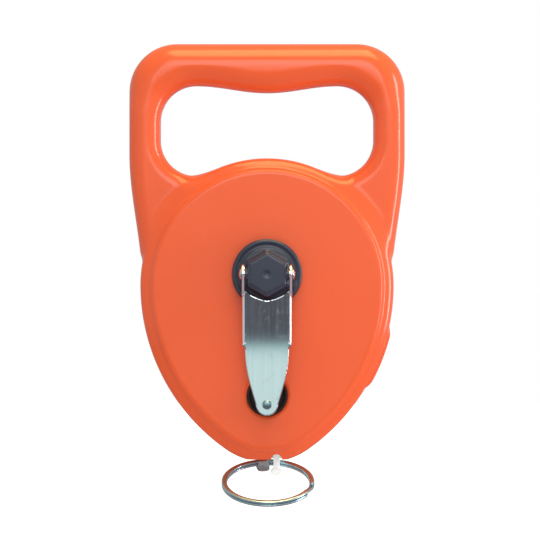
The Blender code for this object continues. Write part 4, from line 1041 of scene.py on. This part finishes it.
LINER_TOP = MOUTH_TOP - LINER_GAP
liner_out = (LINER_HALF_X + LINER_WALL, LINER_HALF_Y + LINER_WALL)
liner = block(
    "liner",
    (TAPE_X - liner_out[0], TAPE_Y - liner_out[1], -NOSE_END),
    (TAPE_X + liner_out[0], TAPE_Y + liner_out[1], LINER_TOP),
)
liner_round = liner.modifiers.new("fold", "BEVEL")
liner_round.width = 0.0007
liner_round.segments = 3
baked(liner)
way = block(
    "way",
    (TAPE_X - LINER_HALF_X, TAPE_Y - LINER_HALF_Y, -100),
    (TAPE_X + LINER_HALF_X, TAPE_Y + LINER_HALF_Y, -70),
)
nest = rod("nest", RING_GROOVE_R, (-CLEAR, TAPE_Y, RING_AT_Z), (CLEAR, TAPE_Y, RING_AT_Z))
liner_notch = rod("liner_notch", NOTCH_R, (TAPE_X, TAPE_Y, -NOSE_END), (TAPE_X, -CLEAR, -NOSE_END), 48)
combine(liner, [way, nest, liner_notch], "DIFFERENCE")
smooth(liner, 35)
liner.data.materials.append(bare_steel)
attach(liner, "case")
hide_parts("mouth_liner")

# ---------------------------------------------------------------- case screws
# Six zinc-plated pan-head screws with cross recesses, sunk in the rear shell. One turned and cut
# screw is placed at each column.

SCREW_LENGTH, SCREW_R, SCREW_HEAD_R, SCREW_HEAD_H = 19.5, 1.5, 2.9, 1.8


def case_screw():
    """The screw on the drum's axis, its seat level with the world's origin."""
    profile = [(0, SCREW_LENGTH - 5), (SCREW_R * 0.4, SCREW_LENGTH - 5), (SCREW_R, SCREW_LENGTH - 6.5)]
    for turn in range(9, 0, -1):
        profile += [(SCREW_R - 0.28, turn + 0.55), (SCREW_R, turn + 0.1)]
    profile += [(SCREW_R, 0), (SCREW_HEAD_R - 0.1, 0), (SCREW_HEAD_R, -0.15)]
    profile += [(SCREW_HEAD_R, -SCREW_HEAD_H * 0.4)]
    profile += [(SCREW_HEAD_R * out, -SCREW_HEAD_H * (0.4 + 0.6 * up)) for out, up in quarter(6, 1)]
    profile += [(0, -SCREW_HEAD_H)]
    screw = turned("case_screw", profile, steps=40)
    reach, half = SCREW_HEAD_R * 0.6, 0.33
    cross = [
        block("slot", (-reach, 0.9, -half), (reach, 3, half)),
        block("slot", (-half, 0.9, -reach), (half, 3, reach)),
    ]
    return smooth(combine(screw, cross, "DIFFERENCE"), 35)


screw = case_screw()
spots = [(x, -(HANDLE_LOW if z > 0 else 0.0) - SCREW_SINK + 0.15, z) for x, z in SCREW_SPOTS]
screw_mesh = bpy.data.meshes.new("case_screws")
screw_mesh.from_pydata([tuple(c * MM for c in spot) for spot in spots], [], [])
screws = new_piece("case_screws", screw_mesh)
layout = bpy.data.node_groups.new("screw_layout", "GeometryNodeTree")
layout.interface.new_socket("Places", in_out="INPUT", socket_type="NodeSocketGeometry")
screw_input = layout.interface.new_socket("Screw", in_out="INPUT", socket_type="NodeSocketObject")
spin_input = layout.interface.new_socket("Turn Step", in_out="INPUT", socket_type="NodeSocketFloat")
paint_input = layout.interface.new_socket("Material", in_out="INPUT", socket_type="NodeSocketMaterial")
layout.interface.new_socket("Geometry", in_out="OUTPUT", socket_type="NodeSocketGeometry")
layout_in = layout.nodes.new("NodeGroupInput")
layout_out = layout.nodes.new("NodeGroupOutput")
layout_object = layout.nodes.new("GeometryNodeObjectInfo")
layout_index = layout.nodes.new("GeometryNodeInputIndex")
layout_turn = layout.nodes.new("ShaderNodeMath")
layout_turn.operation = "MULTIPLY"
layout_spin = layout.nodes.new("ShaderNodeCombineXYZ")
layout_copies = layout.nodes.new("GeometryNodeInstanceOnPoints")
layout_real = layout.nodes.new("GeometryNodeRealizeInstances")
layout_paint = layout.nodes.new("GeometryNodeSetMaterial")
wire(
    layout,
    (layout_in.outputs["Screw"], layout_object.inputs["Object"]),
    (layout_index.outputs["Index"], layout_turn.inputs[0]),
    (layout_in.outputs["Turn Step"], layout_turn.inputs[1]),
    (layout_turn.outputs[0], layout_spin.inputs["Y"]),
    (layout_in.outputs["Places"], layout_copies.inputs["Points"]),
    (layout_object.outputs["Geometry"], layout_copies.inputs["Instance"]),
    (layout_spin.outputs["Vector"], layout_copies.inputs["Rotation"]),
    (layout_copies.outputs["Instances"], layout_real.inputs["Geometry"]),
    (layout_real.outputs["Geometry"], layout_paint.inputs["Geometry"]),
    (layout_in.outputs["Material"], layout_paint.inputs["Material"]),
    (layout_paint.outputs["Geometry"], layout_out.inputs["Geometry"]),
)
zinc = metal("zinc_plate", (0.62, 0.62, 0.58), (0.30, 0.28, 0.25), 0.28, 0.7, 1200.0, 600.0)
spread = screws.modifiers.new("layout", "NODES")
spread.node_group = layout
spread[screw_input.identifier] = screw
spread[spin_input.identifier] = 1.1
spread[paint_input.identifier] = zinc
baked(screws)
bpy.data.objects.remove(screw)
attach(screws, "case")
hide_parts(*(f"shell_screw_{number}" for number in range(1, 7)))

# ---------------------------------------------------------------- tape
# Coated fibreglass tape: yellow, with fine black ticks along one edge and a long line at every
# tenth. The print follows the tape's own length on the straight stretch.

TAPE_EDGE = (TAPE_Y - TAB_WIDTH / 2) * MM

tape_print = plastic("tape_print", (0.86, 0.66, 0.05), (0.60, 0.45, 0.08), 0.42, 3e-6, 4000.0, 0.3)
tape_nodes = tape_print.node_tree
tape_where = tape_nodes.nodes.new("ShaderNodeTexCoord")
tape_split = tape_nodes.nodes.new("ShaderNodeSeparateXYZ")
wire(tape_nodes, (tape_where.outputs["Object"], tape_split.inputs["Vector"]))


def ticks(tree, along, across, pitch, width, reach):
    """A mask of lines at a pitch, each as long as the reach in from the tape's edge."""
    phase = math_node(tree, "FRACT", math_node(tree, "DIVIDE", along, pitch))
    line = math_node(tree, "LESS_THAN", phase, width / pitch)
    near = math_node(tree, "LESS_THAN", across, reach)
    return math_node(tree, "MULTIPLY", line, near)


tape_along = math_node(tape_nodes, "ADD", tape_split.outputs["Z"], 1.0)
tape_across = math_node(tape_nodes, "SUBTRACT", tape_split.outputs["Y"], TAPE_EDGE)
tape_fine = ticks(tape_nodes, tape_along, tape_across, 0.002, 0.00025, 0.0028)
tape_long = ticks(tape_nodes, tape_along, tape_across, 0.010, 0.0004, 0.0062)
tape_full = ticks(tape_nodes, tape_along, tape_across, 0.100, 0.0007, 0.0200)
tape_ink = math_node(tape_nodes, "MAXIMUM", tape_fine, tape_long)
tape_ink = math_node(tape_nodes, "MAXIMUM", tape_ink, tape_full)
tape_mix = tape_nodes.nodes.new("ShaderNodeMix")
tape_mix.data_type = "RGBA"
tape_mix.inputs["B"].default_value = (0.02, 0.02, 0.02, 1)
tape_shader = tape_nodes.nodes["Principled BSDF"]
tape_ground = tape_shader.inputs["Base Color"].links[0].from_socket
wire(
    tape_nodes,
    (tape_ink, tape_mix.inputs["Factor"]),
    (tape_ground, tape_mix.inputs["A"]),
    (tape_mix.outputs["Result"], tape_shader.inputs["Base Color"]),
)

# ---------------------------------------------------------------- pieces that keep their CAD shape
# The tab's rivets, the knob's washer and all that the closed case hides. Each takes the finish of its
# kind and is left where the model has it.

acetal = plastic("acetal", (0.78, 0.77, 0.72), (0.60, 0.57, 0.50), 0.38, 3e-6, grain_scale=1800.0)
grey_moulding = plastic("grey_moulding", (0.20, 0.21, 0.22), (0.30, 0.30, 0.30), 0.48, 5e-6, 1500.0)
finishes = {
    bare_steel: ("roller_pin", "spindle", "tape_anchor_pin", "drag_washer"),
    zinc: ("tab_rivet_1", "tab_rivet_2"),
    acetal: ("front_bush", "rear_bush", "guide_roller", "thrust_sleeve", "knob_washer"),
    grey_moulding: ("spool", "spool_front_flange"),
    tape_print: ("tape_coil", "tape_lead_in", "tape_tongue"),
}
for finish, names in finishes.items():
    for name in names:
        for slot in nodes[name].material_slots:
            slot.material = finish
